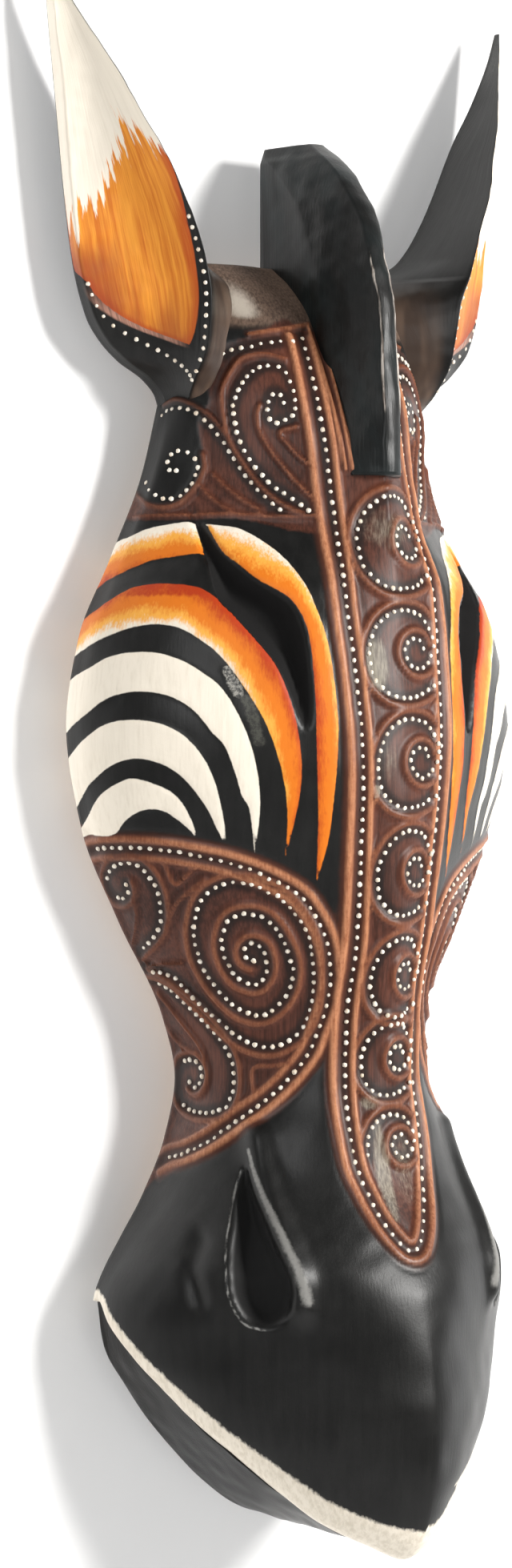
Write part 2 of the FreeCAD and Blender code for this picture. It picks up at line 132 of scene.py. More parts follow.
# Carved ridges that follow no dotted line, each with its width and how far it is rubbed bare.
FREE_RIDGES = [
    ([(23, 376.5), (30, 378), (37, 376.5), (42, 372), (46, 366.5), (47.4, 361), (47.8, 352), (46.5, 347),
      (44, 341.5), (41, 336.5), (37.5, 332.5), (33, 329), (28, 326.8)], 0.8, 0.5),
    ([(69, 362.5), (63, 364), (58, 362.5), (53.5, 359.5), (50.5, 356), (48.3, 352)], 0.8, 0.25),
    ([(35, 361.5), (36.8, 358.5), (37.3, 354), (36, 349), (33.5, 344), (30, 338.5), (26, 333.5),
    (23, 330)], 0.65, 0.6),
    ([(25, 354.5), (31, 352.7), (29, 348.5), (26.5, 345), (23.5, 342)], 0.65, 0.5),
    ([(57, 346), (57.3, 342), (60, 337), (63.5, 333), (67, 330.3), (71, 329), (76, 329.3), (80, 331.5),
      (85, 334.5)], 0.9, 0.4),
    ([(55, 339.5), (51, 335), (46, 330.7), (41, 327.5)], 0.7, 0.4),
    ([(60, 336.5), (57.5, 333), (54, 329.7), (50, 327.3)], 0.7, 0.35),
    ([(84, 326.3), (66, 326.5), (50, 326.6), (38, 325.8), (24, 325.8)], 0.6, 0.5),
    ([(11, 388.5), (17, 387.3), (24, 386), (32, 384.6)], 0.8, 0.75),
    ([(86.5, 206), (85.4, 200), (86.5, 195), (89.5, 190.5)], 0.8, 0.35),
    ([(61.3, 149), (62.5, 156), (67, 161.5), (73, 167.5), (81, 174.5)], 0.7, 0.4),
    ([(66, 155.5), (73, 158), (80, 163.5)], 0.7, 0.35),
    ([(84, 182.8), (77, 184.2), (69, 184.6)], 0.6, 0.4),
    ([(75, 196), (72, 203), (68, 207.5), (63, 211.5)], 0.9, 0.45),
    ([(76, 216), (74.5, 212.5), (72.3, 209.8), (69.5, 212), (66, 216)], 0.8, 0.6),
    ([(31.5, 153.5), (37, 152.3), (43.7, 151.3), (43.8, 144)], 0.8, 0.6),
]

# Each painted stripe: its upper edge and lower edge, both starting at the same end,
# then how warm the paint is along those two edges at the start, the middle and the end.
STRIPES = [
    ([(59.5, 323.5), (50, 322.2), (45, 320), (40, 316.5), (36, 312.5), (33, 308), (30, 302), (26, 289),
      (24.5, 280), (23.3, 262), (24.2, 240), (25, 225), (26.8, 215), (28, 210)],
     [(58.5, 322.5), (55, 314.5), (50, 309.5), (45, 305), (40, 302), (36, 299), (33, 294), (31.2, 287),
      (30.6, 275), (30.4, 250), (29, 230), (28.3, 218), (28, 210)], (0.0, 0.32, 0.62), (0.42, 0.85, 0.75)),
    ([(122, 306), (112, 310), (100, 315.5), (92, 318.7), (85, 319.9), (80, 321.6), (75, 322.9), (66, 324.2),
      (62.5, 324)],
     [(122, 294), (112, 299), (99, 305), (95, 306.2), (90, 307.8), (80, 311.3), (75, 312.4), (65, 313.5),
      (60.5, 313.5)], (0.0, 0.0, 0.0), (0.95, 0.8, 0.6)),
    ([(124, 286), (115, 290.5), (106, 294.5), (100, 297), (95, 299.3), (90, 301.5), (85, 303.2), (76, 304.2),
      (65, 303), (60.5, 300.5), (57.5, 298), (52, 291.5), (47, 285), (42.5, 278.7), (39.2, 270.3),
      (36.7, 260.3), (35.2, 248.7), (35.2, 238.7), (36.8, 227), (38.5, 217)],
     [(124, 277), (118, 279.5), (111, 282), (105, 284), (97.5, 287), (88, 290), (79, 291.1), (70.8, 289.5),
      (62.5, 284), (57.5, 278.7), (52.5, 271), (47, 261.2), (42.9, 250.3), (40, 239.5), (38.6, 228.7),
      (38.5, 217)], (0.66, 1.0, 0.72), (0.0, 0.14, 0.5)),
    ([(124, 270), (113.3, 274.5), (103.3, 277.8), (96.7, 280.8), (89, 282.4), (80, 282.3), (71.7, 279.9),
      (65, 275.8), (60, 271.6), (55.8, 264.9), (51.7, 255.3), (48.8, 244.5), (47.4, 233), (48, 219.5)],
     [(124, 253), (115, 258), (105.8, 262.8), (97.5, 267.7), (89, 269.9), (80.8, 269.7), (74.2, 267.8),
      (68.3, 263.7), (63.3, 257.4), (59.2, 252.8), (55.8, 244.5), (53.4, 237.5), (51, 234), (48.9, 224.5),
      (48, 219.5)], (0.0, 0.0, 0.0), (0.0, 0.0, 0.05)),
    ([(124, 243), (114.8, 249.9), (105.8, 255.7), (97.5, 260.2), (88, 261.4), (79.2, 260.1), (71.7, 256.2),
      (65.8, 249.5), (61.7, 241.2), (58.3, 229.5), (57.2, 222.3)],
     [(122, 224), (110, 235.3), (103.3, 241.6), (95, 247.4), (86.7, 249.2), (78.3, 247.2), (71.7, 242.8),
      (64.6, 234.5), (60, 226.6), (57.2, 222.3)], (0.0, 0.0, 0.0), (0.0, 0.0, 0.0)),
    ([(114, 224), (105.4, 231), (99.2, 238.2), (91.7, 242.4), (86.7, 243), (78.3, 240.3), (72.5, 236.2),
      (68.3, 229.5), (66.2, 224)],
     [(112, 223), (106, 225), (94.2, 225.3), (90, 229.9), (84.2, 233.2), (77.5, 232.8), (70, 227.8),
      (66.2, 224)], (0.0, 0.0, 0.0), (0.0, 0.0, 0.0)),
]
EYE = [(62, 325), (58, 320), (55, 314.5), (50, 309), (45, 304.6), (40, 301), (36, 297.5), (33.5, 292),
       (32, 284), (31.6, 268), (33, 257.5), (36, 262), (38.7, 270), (42.5, 278.7), (47, 285),
       (54, 293.5), (59.5, 300.5), (60.8, 312)]
EYE_CREASE = [(63.5, 327), (61.5, 320), (60.6, 312)]
NOSTRIL = [(49, 121), (56, 107), (61, 94), (62, 83), (58, 75), (51, 73), (45, 77), (42.5, 86), (45, 99),
           (47, 112)]
NOSTRIL_RIDGE = [(44, 130), (43, 115), (42, 100), (40.5, 88), (41, 80)]
NOSTRIL_DIMPLE = [(70, 99), (74.5, 91), (73, 81)]
# Nostril rim and ridge lines: along them the colour gets a pale grey painted highlight, with a little rubbed
# paint.
NOSTRIL_RIM = [(50.5, 120), (57.3, 107), (62.2, 94), (63.2, 83), (59.3, 74.6), (52, 72)]
NOSTRIL_RIDGE_HIGHLIGHT = [(46.5, 126), (44.5, 112), (42, 98), (39.8, 88), (38.6, 82)]
UPPER_PANEL = [(15, 386), (30, 384), (43, 380), (50, 372), (51, 363), (56, 357), (57, 347), (58, 341),
               (62, 336), (68, 331.5), (76, 330.5), (84, 333), (92, 328), (84, 325.4), (50, 325.4), (17, 325)]
LOWER_PANEL = [(125, 222), (100, 225), (88, 225.3), (77, 224.6), (64, 223), (53, 220), (42, 215.8),
               (31, 209.4), (24.6, 202), (20, 194.5), (17.5, 187), (16, 179), (16.8, 170), (19.3, 162),
               (22.6, 154.5), (27.7, 147.7), (34, 141.6), (41, 136.6), (48, 133), (56, 127.6),
               (64, 123.6), (74, 120), (88, 115.5), (112, 112)]
CHIPPED = [(57.5, 276.5), (56, 273), (54.5, 270)]
SCUFFED = [(52, 267.5), (50, 261), (48.8, 255)]

# Places on the band painted a pale grey: sideways, height, reach each way, strength.
GREYED = [(-9, 279, 5, 10, 1.0), (0, 322, 13, 9, 0.5), (-6, 248, 5, 9, 0.4), (-10.6, 239, 1.8, 2.3, 1.6),
          (-3.5, 119, 3.6, 19, 0.9), (5, 120, 6, 16, 0.45), (-6, 141, 4, 3, 0.8), (16, 150, 7, 55, 0.35)]

DOT_PITCH, CURL_PITCH, DOT_RADIUS, DOT_HEIGHT = 3.35, 2.95, 0.79, 0.6
RIDGE_GAP = 2.7


# ------------------------------------------------------------------ curves and distances
def smooth(knots, at):
    """A smooth curve through the knots that never overshoots them."""
    k = np.array(knots, float)
    x, y = k[:, 0], k[:, 1]
    at = np.clip(np.asarray(at, float), x[0], x[-1])
    i = np.clip(np.searchsorted(x, at, side="right") - 1, 0, len(x) - 2)
    d = np.diff(y) / np.diff(x)
    turn = np.where(d[:-1] * d[1:] > 0, d[:-1] + d[1:], 1.0)
    inner = np.where(d[:-1] * d[1:] > 0, 2 * d[:-1] * d[1:] / turn, 0.0)
    m = np.concatenate([[d[0]], inner, [d[-1]]])
    span = x[i + 1] - x[i]
    s = (at - x[i]) / span
    return ((2 * s ** 3 - 3 * s ** 2 + 1) * y[i] + (s ** 3 - 2 * s ** 2 + s) * span * m[i]
            + (3 * s ** 2 - 2 * s ** 3) * y[i + 1] + (s ** 3 - s ** 2) * span * m[i + 1])


def curve(points, step=1.2, closed=False):
    """Evenly spaced points along a rounded line through a few given ones."""
    p = np.array(points, float)
    ends = (p[-1:], p[:2]) if closed else (2 * p[:1] - p[1:2], 2 * p[-1:] - p[-2:-1])
    q = np.concatenate([ends[0], p, ends[1]])
    out = []
    for a, b, c, d in zip(q[:-3], q[1:-2], q[2:-1], q[3:]):
        t = np.linspace(0, 1, 12, endpoint=False)[:, None]
        out.append(0.5 * (2 * b + (c - a) * t + (2 * a - 5 * b + 4 * c - d) * t ** 2
                          + (3 * b - a - 3 * c + d) * t ** 3))
    out = np.concatenate(out + [p[:1] if closed else p[-1:]])
    length = np.concatenate([[0], np.cumsum(np.hypot(*np.diff(out, axis=0).T))])
    count = max(2, int(length[-1] / step) + 1)
    at = np.linspace(0, length[-1], count)
    return np.stack([np.interp(at, length, out[:, 0]), np.interp(at, length, out[:, 1])], 1)


def beside(line, gap):
    """The line shifted sideways by gap."""
    run = np.gradient(line, axis=0)
    run /= np.hypot(*run.T)[:, None] + 1e-9
    return line + np.reshape(gap, (-1, 1)) * np.stack([-run[:, 1], run[:, 0]], 1)


def nearest(points, line):
    """Distance of every point from a line, and how far along the line its nearest place is."""
    best, along = np.full(len(points), 99.0), np.zeros(len(points))
    low, high = line.min(0) - 9, line.max(0) + 9
    near = np.where(((points > low) & (points < high)).all(1))[0]
    p = points[near]
    found, at = np.full(len(near), 99.0), np.zeros(len(near))
    for i, (a, b) in enumerate(zip(line[:-1], line[1:])):
        ab = b - a
        t = np.clip(((p - a) @ ab) / (ab @ ab + 1e-9), 0, 1)
        d = np.hypot(*(p - a - t[:, None] * ab).T)
        at = np.where(d < found, (i + t) / (len(line) - 1), at)
        found = np.minimum(found, d)
    best[near], along[near] = found, at
    return best, along


def away(points, line):
    return nearest(points, line)[0]


def inside(points, ring):
    """Signed distance to a closed outline, positive inside it."""
    ring = np.concatenate([ring, ring[:1]])
    odd = np.zeros(len(points), bool)
    x, y = points.T
    for (xa, ya), (xb, yb) in zip(ring[:-1], ring[1:]):
        crosses = (ya > y) != (yb > y)
        odd ^= crosses & (x < (xb - xa) * (y - ya) / (yb - ya + 1e-12) + xa)
    gap = np.minimum(away(points, ring), 12.0)
    return np.where(odd, gap, -gap)


def ease(x, low, high):
    t = np.clip((x - low) / (high - low), 0, 1)
    return t * t * (3 - 2 * t)


def ripple(places, size, seed, octaves=3):
    """Soft random unevenness about -1 to 1, its lumps about size across."""
    r = np.random.default_rng(seed)
    total = np.zeros(len(places))
    for o in range(octaves):
        for _ in range(7):
            way = r.normal(size=places.shape[1])
            way *= 2 ** o * r.uniform(0.6, 1.4) / (size * np.linalg.norm(way))
            total += np.sin(2 * np.pi * (places @ way) + r.uniform(0, 6.3)) * 0.38 / 1.9 ** o
    return total


# ------------------------------------------------------------------ the head's surface
LEVELS = np.arange(CHIN, CROWN + 0.01, 0.5)
HALF_COLUMNS = 100
ACROSS = np.linspace(-1, 1, 2 * HALF_COLUMNS + 1)


def head_table():
    """For each level and share of the way round: sideways place, depth and run along the surface."""
    angle = np.linspace(-math.pi / 2, math.pi / 2, 901)
    rows = []
    for h, w, d, e, n in zip(LEVELS, smooth(HALF_WIDTH, LEVELS), smooth(RIDGE_DEPTH, LEVELS),
                             smooth(EDGE_DEPTH, LEVELS), smooth(ROUNDNESS, LEVELS)):
        x = w * np.sign(np.sin(angle)) * np.abs(np.sin(angle)) ** (2 / n)
        z = e + (d - e) * np.clip(np.cos(angle), 0, 1) ** (2 / n)
        strip = np.linspace(0, e, 9)[:-1]
        x = np.concatenate([np.full(8, -w), x, np.full(8, w)])
        z = np.concatenate([strip, z, strip[::-1]])
        run = np.concatenate([[0], np.cumsum(np.hypot(np.diff(x), np.diff(z)))])
        run -= run[len(run) // 2]
        at = ACROSS * run[-1]
        rows.append((np.interp(at, run, x), np.interp(at, run, z), at))
    return np.array(rows)


TABLE = head_table()


def read_table(column, level):
    """Head table values at fractional columns and levels."""
    i = np.clip((level - CHIN) / 0.5, 0, len(LEVELS) - 1.001)
    j = np.clip(column, 0, len(ACROSS) - 1.001)
    i0, j0 = i.astype(int), j.astype(int)
    fi, fj = i - i0, j - j0
    out = []
    for k in range(3):
        t = TABLE[:, k]
        out.append((t[i0, j0] * (1 - fj) + t[i0, j0 + 1] * fj) * (1 - fi)
                   + (t[i0 + 1, j0] * (1 - fj) + t[i0 + 1, j0 + 1] * fj) * fi)
    return out


def head_places(run, level):
    """Points of the smooth head at a distance along the surface from the ridge, and a level."""
    level = np.asarray(level, float)
    reach = np.interp(level, LEVELS, TABLE[:, 2, -1])
    column = (np.asarray(run) / reach + 1) * HALF_COLUMNS
    x, z, _ = read_table(column, level)
    return np.stack([x, z, level], 1)


def lip_levels():
    """Where the mouth's flat cut meets each column of the head."""
    low = []
    for j in range(len(ACROSS)):
        front = TABLE[:, 1, j] - (MOUTH_DEPTH - MOUTH_SLOPE * LEVELS)
        k = int(np.argmax(front > 0))
        back = max(k - 1, 0)
        rise = front[k] - front[back]
        share = -front[back] / rise if rise else 0.0
        low.append(min(LEVELS[back] + 0.5 * max(share, 0.0), MOUTH_CORNER))
    return np.array(low)


def even(line, step):
    return curve(line[::3], step)


def band_line():
    """The band's dotted line: down its left side, round the tip and up the right."""
    level = np.arange(94.0, 385, 2)
    left = np.stack([-smooth(BAND_LEFT, level), level], 1)[::-1]
    right = np.stack([smooth(BAND_RIGHT, level), level], 1)
    return even(np.concatenate([left, right]), 1.2)


band_dots = band_line()
border_dots = curve(CHEEK_BORDER)
curl_dots = [curve(c, 0.8) for c in (BROW_CURL, TEMPLE_CURL, CHEEK_CURL_HIGH, CHEEK_CURL_LOW, CHEEK_SPIRAL)]
brow_line = curve(BROW_DOTS)
band_coils = [curve([(x + rx * u, h + rh * v) for u, v in (COIL if h > 130 else COIL[5:])], 0.8)
              for x, h, rx, rh in BAND_COILS]

# Ridges as (line, width, rubbed), first the ones repeated on both sides, then the band's own.
side_ridges = [(beside(border_dots, -RIDGE_GAP), 1.1, 0.95), (beside(border_dots, 3.0), 1.0, 0.75),
               (beside(curl_dots[2], -RIDGE_GAP), 0.85, 0.35), (beside(curl_dots[3], 2.5), 0.85, 0.35),
               (beside(curl_dots[4], -RIDGE_GAP), 0.9, 0.45)]
side_ridges += [(curve(line), 0.85 * width, 0.7 * rubbed) for line, width, rubbed in FREE_RIDGES]
band_ridges = [(beside(band_dots, -smooth(BAND_OUTER_GAP, band_dots[:, 1])), 1.2, 1.0),
               (beside(band_dots, BAND_INNER_GAP), 0.95, 1.0)]
band_ridges += [(curve(line) * (side, 1), 0.55, 0.95) for line in CREST_LINES for side in (-1, 1)]
coil_ridges = [(beside(c, RIDGE_GAP), 0.9, 0.38) for c in band_coils]
stripe_rings = [(curve(top), curve(low), a, b) for top, low, a, b in STRIPES]
eye_ring = curve(EYE, closed=True)
nostril_ring = curve(NOSTRIL, closed=True)


def band_depth(run, level):
    """How far inside the band's dotted line a place is."""
    edge = np.where(run < 0, smooth(BAND_LEFT, level), smooth(BAND_RIGHT, level))
    return np.where((level > 94) & (level < 386), edge - np.abs(run), -9.0)


def ridges_at(side, both, band):
    """Distance to the nearest ridge in ridge widths, and how far that ridge is rubbed."""
    ridge, rubbed = np.full(len(both), 99.0), np.zeros(len(both))
    sets = [(side, side_ridges, band < -2.5), (both, band_ridges, band < 99), (both, coil_ridges, band > 3.2)]
    for points, lines, where in sets:
        for line, width, share in lines:
            d = away(points, line) / width
            better = where & (d < ridge)
            ridge, rubbed = np.where(better, d, ridge), np.where(better, share, rubbed)
    return ridge, rubbed


def relief(run, level):
    """How far the carving stands in or out at each place, and what is painted there."""
    side = np.stack([np.abs(run), level], 1)
    both = np.stack([run, level], 1)
    band = band_depth(run, level)
    ridge, rubbed = ridges_at(side, both, band)
    rubbed = rubbed * (1 - 0.45 * ease(np.abs(run), 58, 92)) * np.interp(level, (92, 122), (0.5, 1.0))

    channel = np.minimum(away(both, band_dots), away(side, border_dots))
    for l in curl_dots + [brow_line]:
        channel = np.minimum(channel, away(side, l))
    for l in band_coils:
        channel = np.minimum(channel, away(both, l))

    panel = np.maximum(inside(side, curve(UPPER_PANEL, closed=True)),
                       inside(side, curve(LOWER_PANEL, closed=True)))
    brown = np.maximum(panel, band + smooth(BAND_OUTER_GAP, level) + 1.4)
    grey = np.zeros(len(run))
    for x, h, rx, rh, strength in GREYED:
        grey = np.maximum(grey, strength * (1.2 - ((run - x) / rx) ** 2 - ((level - h) / rh) ** 2))

    paint = np.full(len(run), -9.0)
    warm = np.zeros(len(run))
    for top, low, warm_top, warm_low in stripe_rings:
        gap = inside(side, np.concatenate([top, low[::-1]]))
        up, along_top = nearest(side, top)
        down, along_low = nearest(side, low)
        share = up / (up + down + 1e-6)
        start = np.interp(along_top, (0, 0.5, 1), warm_top)
        end = np.interp(along_low, (0, 0.5, 1), warm_low)
        here = gap > paint
        warm = np.where(here, start + (end - start) * share, warm)
        paint = np.maximum(paint, gap)
    eye = inside(side, eye_ring)
    paint = np.where(eye > 0, np.minimum(paint, -eye), paint)
    crease = away(side, curve(EYE_CREASE))
    nostril = inside(side, nostril_ring)
    bridge = away(side, curve(NOSTRIL_RIDGE))
    # shine marks the painted highlight along the nostril rim and down its ridge.
    shine = np.maximum(1.15 - away(side, curve(NOSTRIL_RIM)) / 0.55, 1.3 - away(side, curve(NOSTRIL_RIDGE_HIGHLIGHT))
                       / np.interp(level, (80, 95, 130), (2.4, 1.9, 0.7)))
    dimple = away(side, curve(NOSTRIL_DIMPLE))
    chip = np.where(run < 0, away(side, curve(CHIPPED)), 99.0)
    scuff = np.where(run < 0, away(side, curve(SCUFFED)), 99.0)
    crown = ease(level, 385, 392) * (1 - ease(np.abs(run), 38, 50))
    # Above 1, the crown field adds a painted highlight on the glossy crown dome either side of the mane.
    crown *= 1 + np.exp(-((np.abs(run) - 31) / 5.5) ** 2 - ((level - 394) / 8) ** 2)

    out = 0.8 * np.exp(-(ridge / 1.1) ** 2) - 0.25 * np.exp(-((ridge - 2.2) / 0.8) ** 2)
    out -= 0.4 * ease(brown, -0.5, 1.0) * (1 - np.exp(-(ridge / 1.5) ** 2))
    out += 0.3 * ease(paint, -0.3, 0.7)
    out -= 5.0 * ease(eye, -0.2, 6.0) + 1.0 * ease(eye, -0.3, 0.8)
    out -= 1.1 * np.exp(-(crease / 0.9) ** 2)
    out -= 4.2 * ease(nostril, -0.4, 5.0) + 1.0 * ease(nostril, -0.3, 0.6)
    out += 3.0 * np.exp(-(bridge / 4.6) ** 2) * ease(-nostril, -3.0, 1.0) - 1.3 * np.exp(-(dimple / 3.4) ** 2)
    out -= 0.3 * ease(chip, 2.4, 1.2)
    return out, {"ridge": ridge, "rubbed": rubbed, "channel": channel, "brown": brown, "paint": paint,
                 "warm": warm, "eye": eye, "chip": chip, "scuff": scuff, "grey": grey, "crown": crown,
                 "shine": shine, "nostril": nostril}


# ------------------------------------------------------------------ mesh helpers
def to_row(places):
    """From (sideways, depth, height) in millimetres to the row frame in metres."""
    p = np.asarray(places, float)
    return np.stack([p[:, 0], -p[:, 1], p[:, 2] - NAIL_HEIGHT], 1) / 1000


def make_piece(name, places, faces, body, stands_for, material, fields=(), uv=None,
               front_corners=0):
    """A smooth mesh with its painted fields, in the place of the named nodes."""
    mesh = bpy.data.meshes.new(name)
    mesh.from_pydata(to_row(places).tolist(), [], faces)
    mesh.polygons.foreach_set("use_smooth", np.ones(len(mesh.polygons), bool))
    for key, values in dict(fields).items():
        mesh.attributes.new(key, "FLOAT", "POINT").data.foreach_set("value", np.asarray(values, np.float32))
    if uv is not None:
        corner = np.zeros(len(mesh.loops), np.int32)
        mesh.loops.foreach_get("vertex_index", corner)
        layer = mesh.uv_layers.new(name="OFBake")
        spread = uv[corner]
        rear = np.arange(len(corner)) >= front_corners
        spot = np.asarray(places)[corner[rear]]
        spread[rear, 0] = 0.85 + 0.145 * spot[:, 0] / 86
        spread[rear, 1] = 0.01 + 0.96 * (spot[:, 2] - CHIN) / (CROWN - CHIN)
        layer.data.foreach_set("uv", spread.astype(np.float32).ravel())
    mesh.materials.append(material)
    obj = bpy.data.objects.new(name, mesh)
    bpy.context.scene.collection.objects.link(obj)
    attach(obj, body)
    if stands_for:
        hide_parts(*stands_for)
    return obj


def grid_normals(p):
    """Outward normals of a grid of (sideways, depth, height) places."""
    n = np.cross(np.gradient(p, axis=1), np.gradient(p, axis=0))
    n /= np.linalg.norm(n, axis=2, keepdims=True) + 1e-12
    flip = np.sign((n[..., 1]).mean()) or 1.0
    return n * flip


def tube_faces(rows, columns):
    """Quads of a closed ring of columns repeated over rows, with its two ends capped."""
    faces = []
    for i in range(rows - 1):
        a, b = i * columns, (i + 1) * columns
        for j in range(columns):
            k = (j + 1) % columns
            faces.append((a + j, a + k, b + k, b + j))
    faces.append(tuple(range(columns - 1, -1, -1)))
    faces.append(tuple((rows - 1) * columns + j for j in range(columns)))
    return faces


def closed(obj):
    """Turns every side of a closed piece outwards."""
    b = bmesh.new()
    b.from_mesh(obj.data)
    bmesh.ops.recalc_face_normals(b, faces=b.faces)
    b.to_mesh(obj.data)
    b.free()
    return obj


# ------------------------------------------------------------------ shader arithmetic
class Value:
    """A shader socket that can be used in ordinary arithmetic."""

    def __init__(self, paint, socket):
        self.paint, self.socket = paint, socket

    def _do(self, how, a, b=0.0):
        return self.paint.node("ShaderNodeMath", {"operation": how}, {0: a, 1: b})

    def __add__(self, o):
        return self._do("ADD", self, o)

    def __sub__(self, o):
        return self._do("SUBTRACT", self, o)

    def __rsub__(self, o):
        return self._do("SUBTRACT", o, self)

    def __mul__(self, o):
        return self._do("MULTIPLY", self, o)

    def __truediv__(self, o):
        return self._do("DIVIDE", self, o)

    def __rtruediv__(self, o):
        return self._do("DIVIDE", o, self)

    def __neg__(self):
        return self._do("MULTIPLY", self, -1.0)

    __radd__, __rmul__ = __add__, __mul__


class Paint:
    """One material and the nodes that make it."""

    def __init__(self, name):
        self.material = bpy.data.materials.new(name)
        self.material.use_nodes = True
        self.tree = self.material.node_tree
        self.shader = self.tree.nodes["Principled BSDF"]
        self.here = self.node("ShaderNodeTexCoord", out="Object")

    def node(self, kind, settings=None, inputs=None, out=0):
        n = self.tree.nodes.new(kind)
        for key, value in (settings or {}).items():
            setattr(n, key, value)
        for key, value in (inputs or {}).items():
            self.feed(n.inputs[key], value)
        return Value(self, n.outputs[out])

    def feed(self, socket, value):
        if isinstance(value, Value):
            self.tree.links.new(value.socket, socket)
        elif isinstance(value, tuple) and len(value) == 3 and socket.type == "RGBA":
            socket.default_value = (*value, 1.0)
        else:
            socket.default_value = value

    def field(self, name):
        return self.node("ShaderNodeAttribute", {"attribute_name": name}, out="Fac")

    def step(self, value, low, high):
        return self.node("ShaderNodeMapRange", {"interpolation_type": "SMOOTHSTEP"},
                         {"Value": value, "From Min": low, "From Max": high})

    def stretch(self, x, y, z):
        """Object places in millimetres, scaled each way."""
        scale = (1000 * x, 1000 * y, 1000 * z)
        return self.node("ShaderNodeVectorMath", {"operation": "MULTIPLY"}, {0: self.here, 1: scale})

    def noise(self, x, y, z, detail=3.0, rough=0.55, seed=0.0, at=None):
        """Noise from 0 to 1 with that many lumps per millimetre each way, or in step with 'at'."""
        return self.node("ShaderNodeTexNoise", {"noise_dimensions": "4D"},
                         {"Vector": at or self.stretch(x, y, z), "Scale": 1.0, "Detail": detail,
                          "Roughness": rough, "W": seed}, out="Fac")

    def mix(self, share, a, b):
        n = self.tree.nodes.new("ShaderNodeMix")
        n.data_type = "RGBA"
        self.feed(n.inputs[0], share)
        self.feed(n.inputs[6], a)
        self.feed(n.inputs[7], b)
        return Value(self, n.outputs[2])

    def bump(self, height, distance, strength=1.0):
        return self.node("ShaderNodeBump", {}, {"Strength": strength, "Distance": distance / 1000,
                                                "Height": height}, out="Normal")

    def finish(self, colour, roughness, normal=None, metal=0.0, shine=0.26):
        self.feed(self.shader.inputs["Base Color"], colour)
        self.feed(self.shader.inputs["Roughness"], roughness)
        self.feed(self.shader.inputs["Metallic"], metal)
        self.shader.inputs["Specular IOR Level"].default_value = shine
        if normal is not None:
            self.feed(self.shader.inputs["Normal"], normal)
        return self.material


BLACK, SOOT = (0.0042, 0.0042, 0.0040), (0.0095, 0.0095, 0.009)
STAIN, STAIN_LIGHT = (0.034, 0.0105, 0.006), (0.105, 0.034, 0.02)
RUBBED_DARK, RUBBED, RUBBED_LIGHT = (0.12, 0.030, 0.012), (0.26, 0.078, 0.032), (0.60, 0.27, 0.135)
CHALK, CHALK_DULL = (0.80, 0.73, 0.62), (0.66, 0.59, 0.48)
GOLD, ORANGE, RED = (0.80, 0.37, 0.055), (0.66, 0.165, 0.007), (0.40, 0.036, 0.003)
BARE_WOOD, BARE_DARK = (0.52, 0.36, 0.20), (0.30, 0.18, 0.09)


def black_paint(p, seed=0.0):
    """Near-black brushed paint, a little dusty, with the strokes running up the piece."""
    stroke = p.noise(0.35, 0.35, 0.02, 4, 0.6, seed)
    dust = p.noise(0.05, 0.05, 0.05, 4, 0.6, seed + 3)
    speck = p.noise(1.6, 1.6, 1.6, 2, 0.5, seed + 6)
    tone = p.step(stroke * 0.45 + dust * 0.4 + speck * 0.15, 0.38, 0.66)
    return p.mix(tone, BLACK, SOOT), 0.27 + 0.16 * dust + 0.05 * speck


def bare_wood(p):
    grain = p.noise(0.55, 0.55, 0.018, 5, 0.62, 1.0)
    wide = p.noise(0.07, 0.07, 0.006, 3, 0.5, 2.0)
    pores = p.noise(2.6, 2.6, 0.22, 2, 0.5, 4.0)
    share = p.step(grain * 0.6 + wide * 0.4, 0.36, 0.66)
    colour = p.mix(share, BARE_WOOD, BARE_DARK)
    return p.mix(p.step(pores, 0.62, 0.74) * 0.45, colour, BARE_DARK), grain


def warm_paint(p, warm, seed):
    """White through gold and orange to red, brushed one into the other."""
    brush = p.noise(0.16, 0.16, 0.10, 4, 0.6, seed)
    fine = p.noise(1.6, 1.6, 0.35, 3, 0.6, seed + 2)
    grain = p.noise(0.9, 0.9, 0.03, 4, 0.6, seed + 5)
    at = warm + (brush - 0.5) * 0.46 + (fine - 0.5) * 0.34
    chalk = p.mix(p.step(grain, 0.42, 0.8) * 0.6, CHALK, CHALK_DULL)
    colour = p.mix(p.step(at, 0.10, 0.30), chalk, GOLD)
    colour = p.mix(p.step(at, 0.30, 0.52), colour, ORANGE)
    colour = p.mix(p.step(at, 0.58, 0.92), colour, RED)
    return p.mix(p.step(grain, 0.66, 0.85) * 0.16, colour, SOOT)


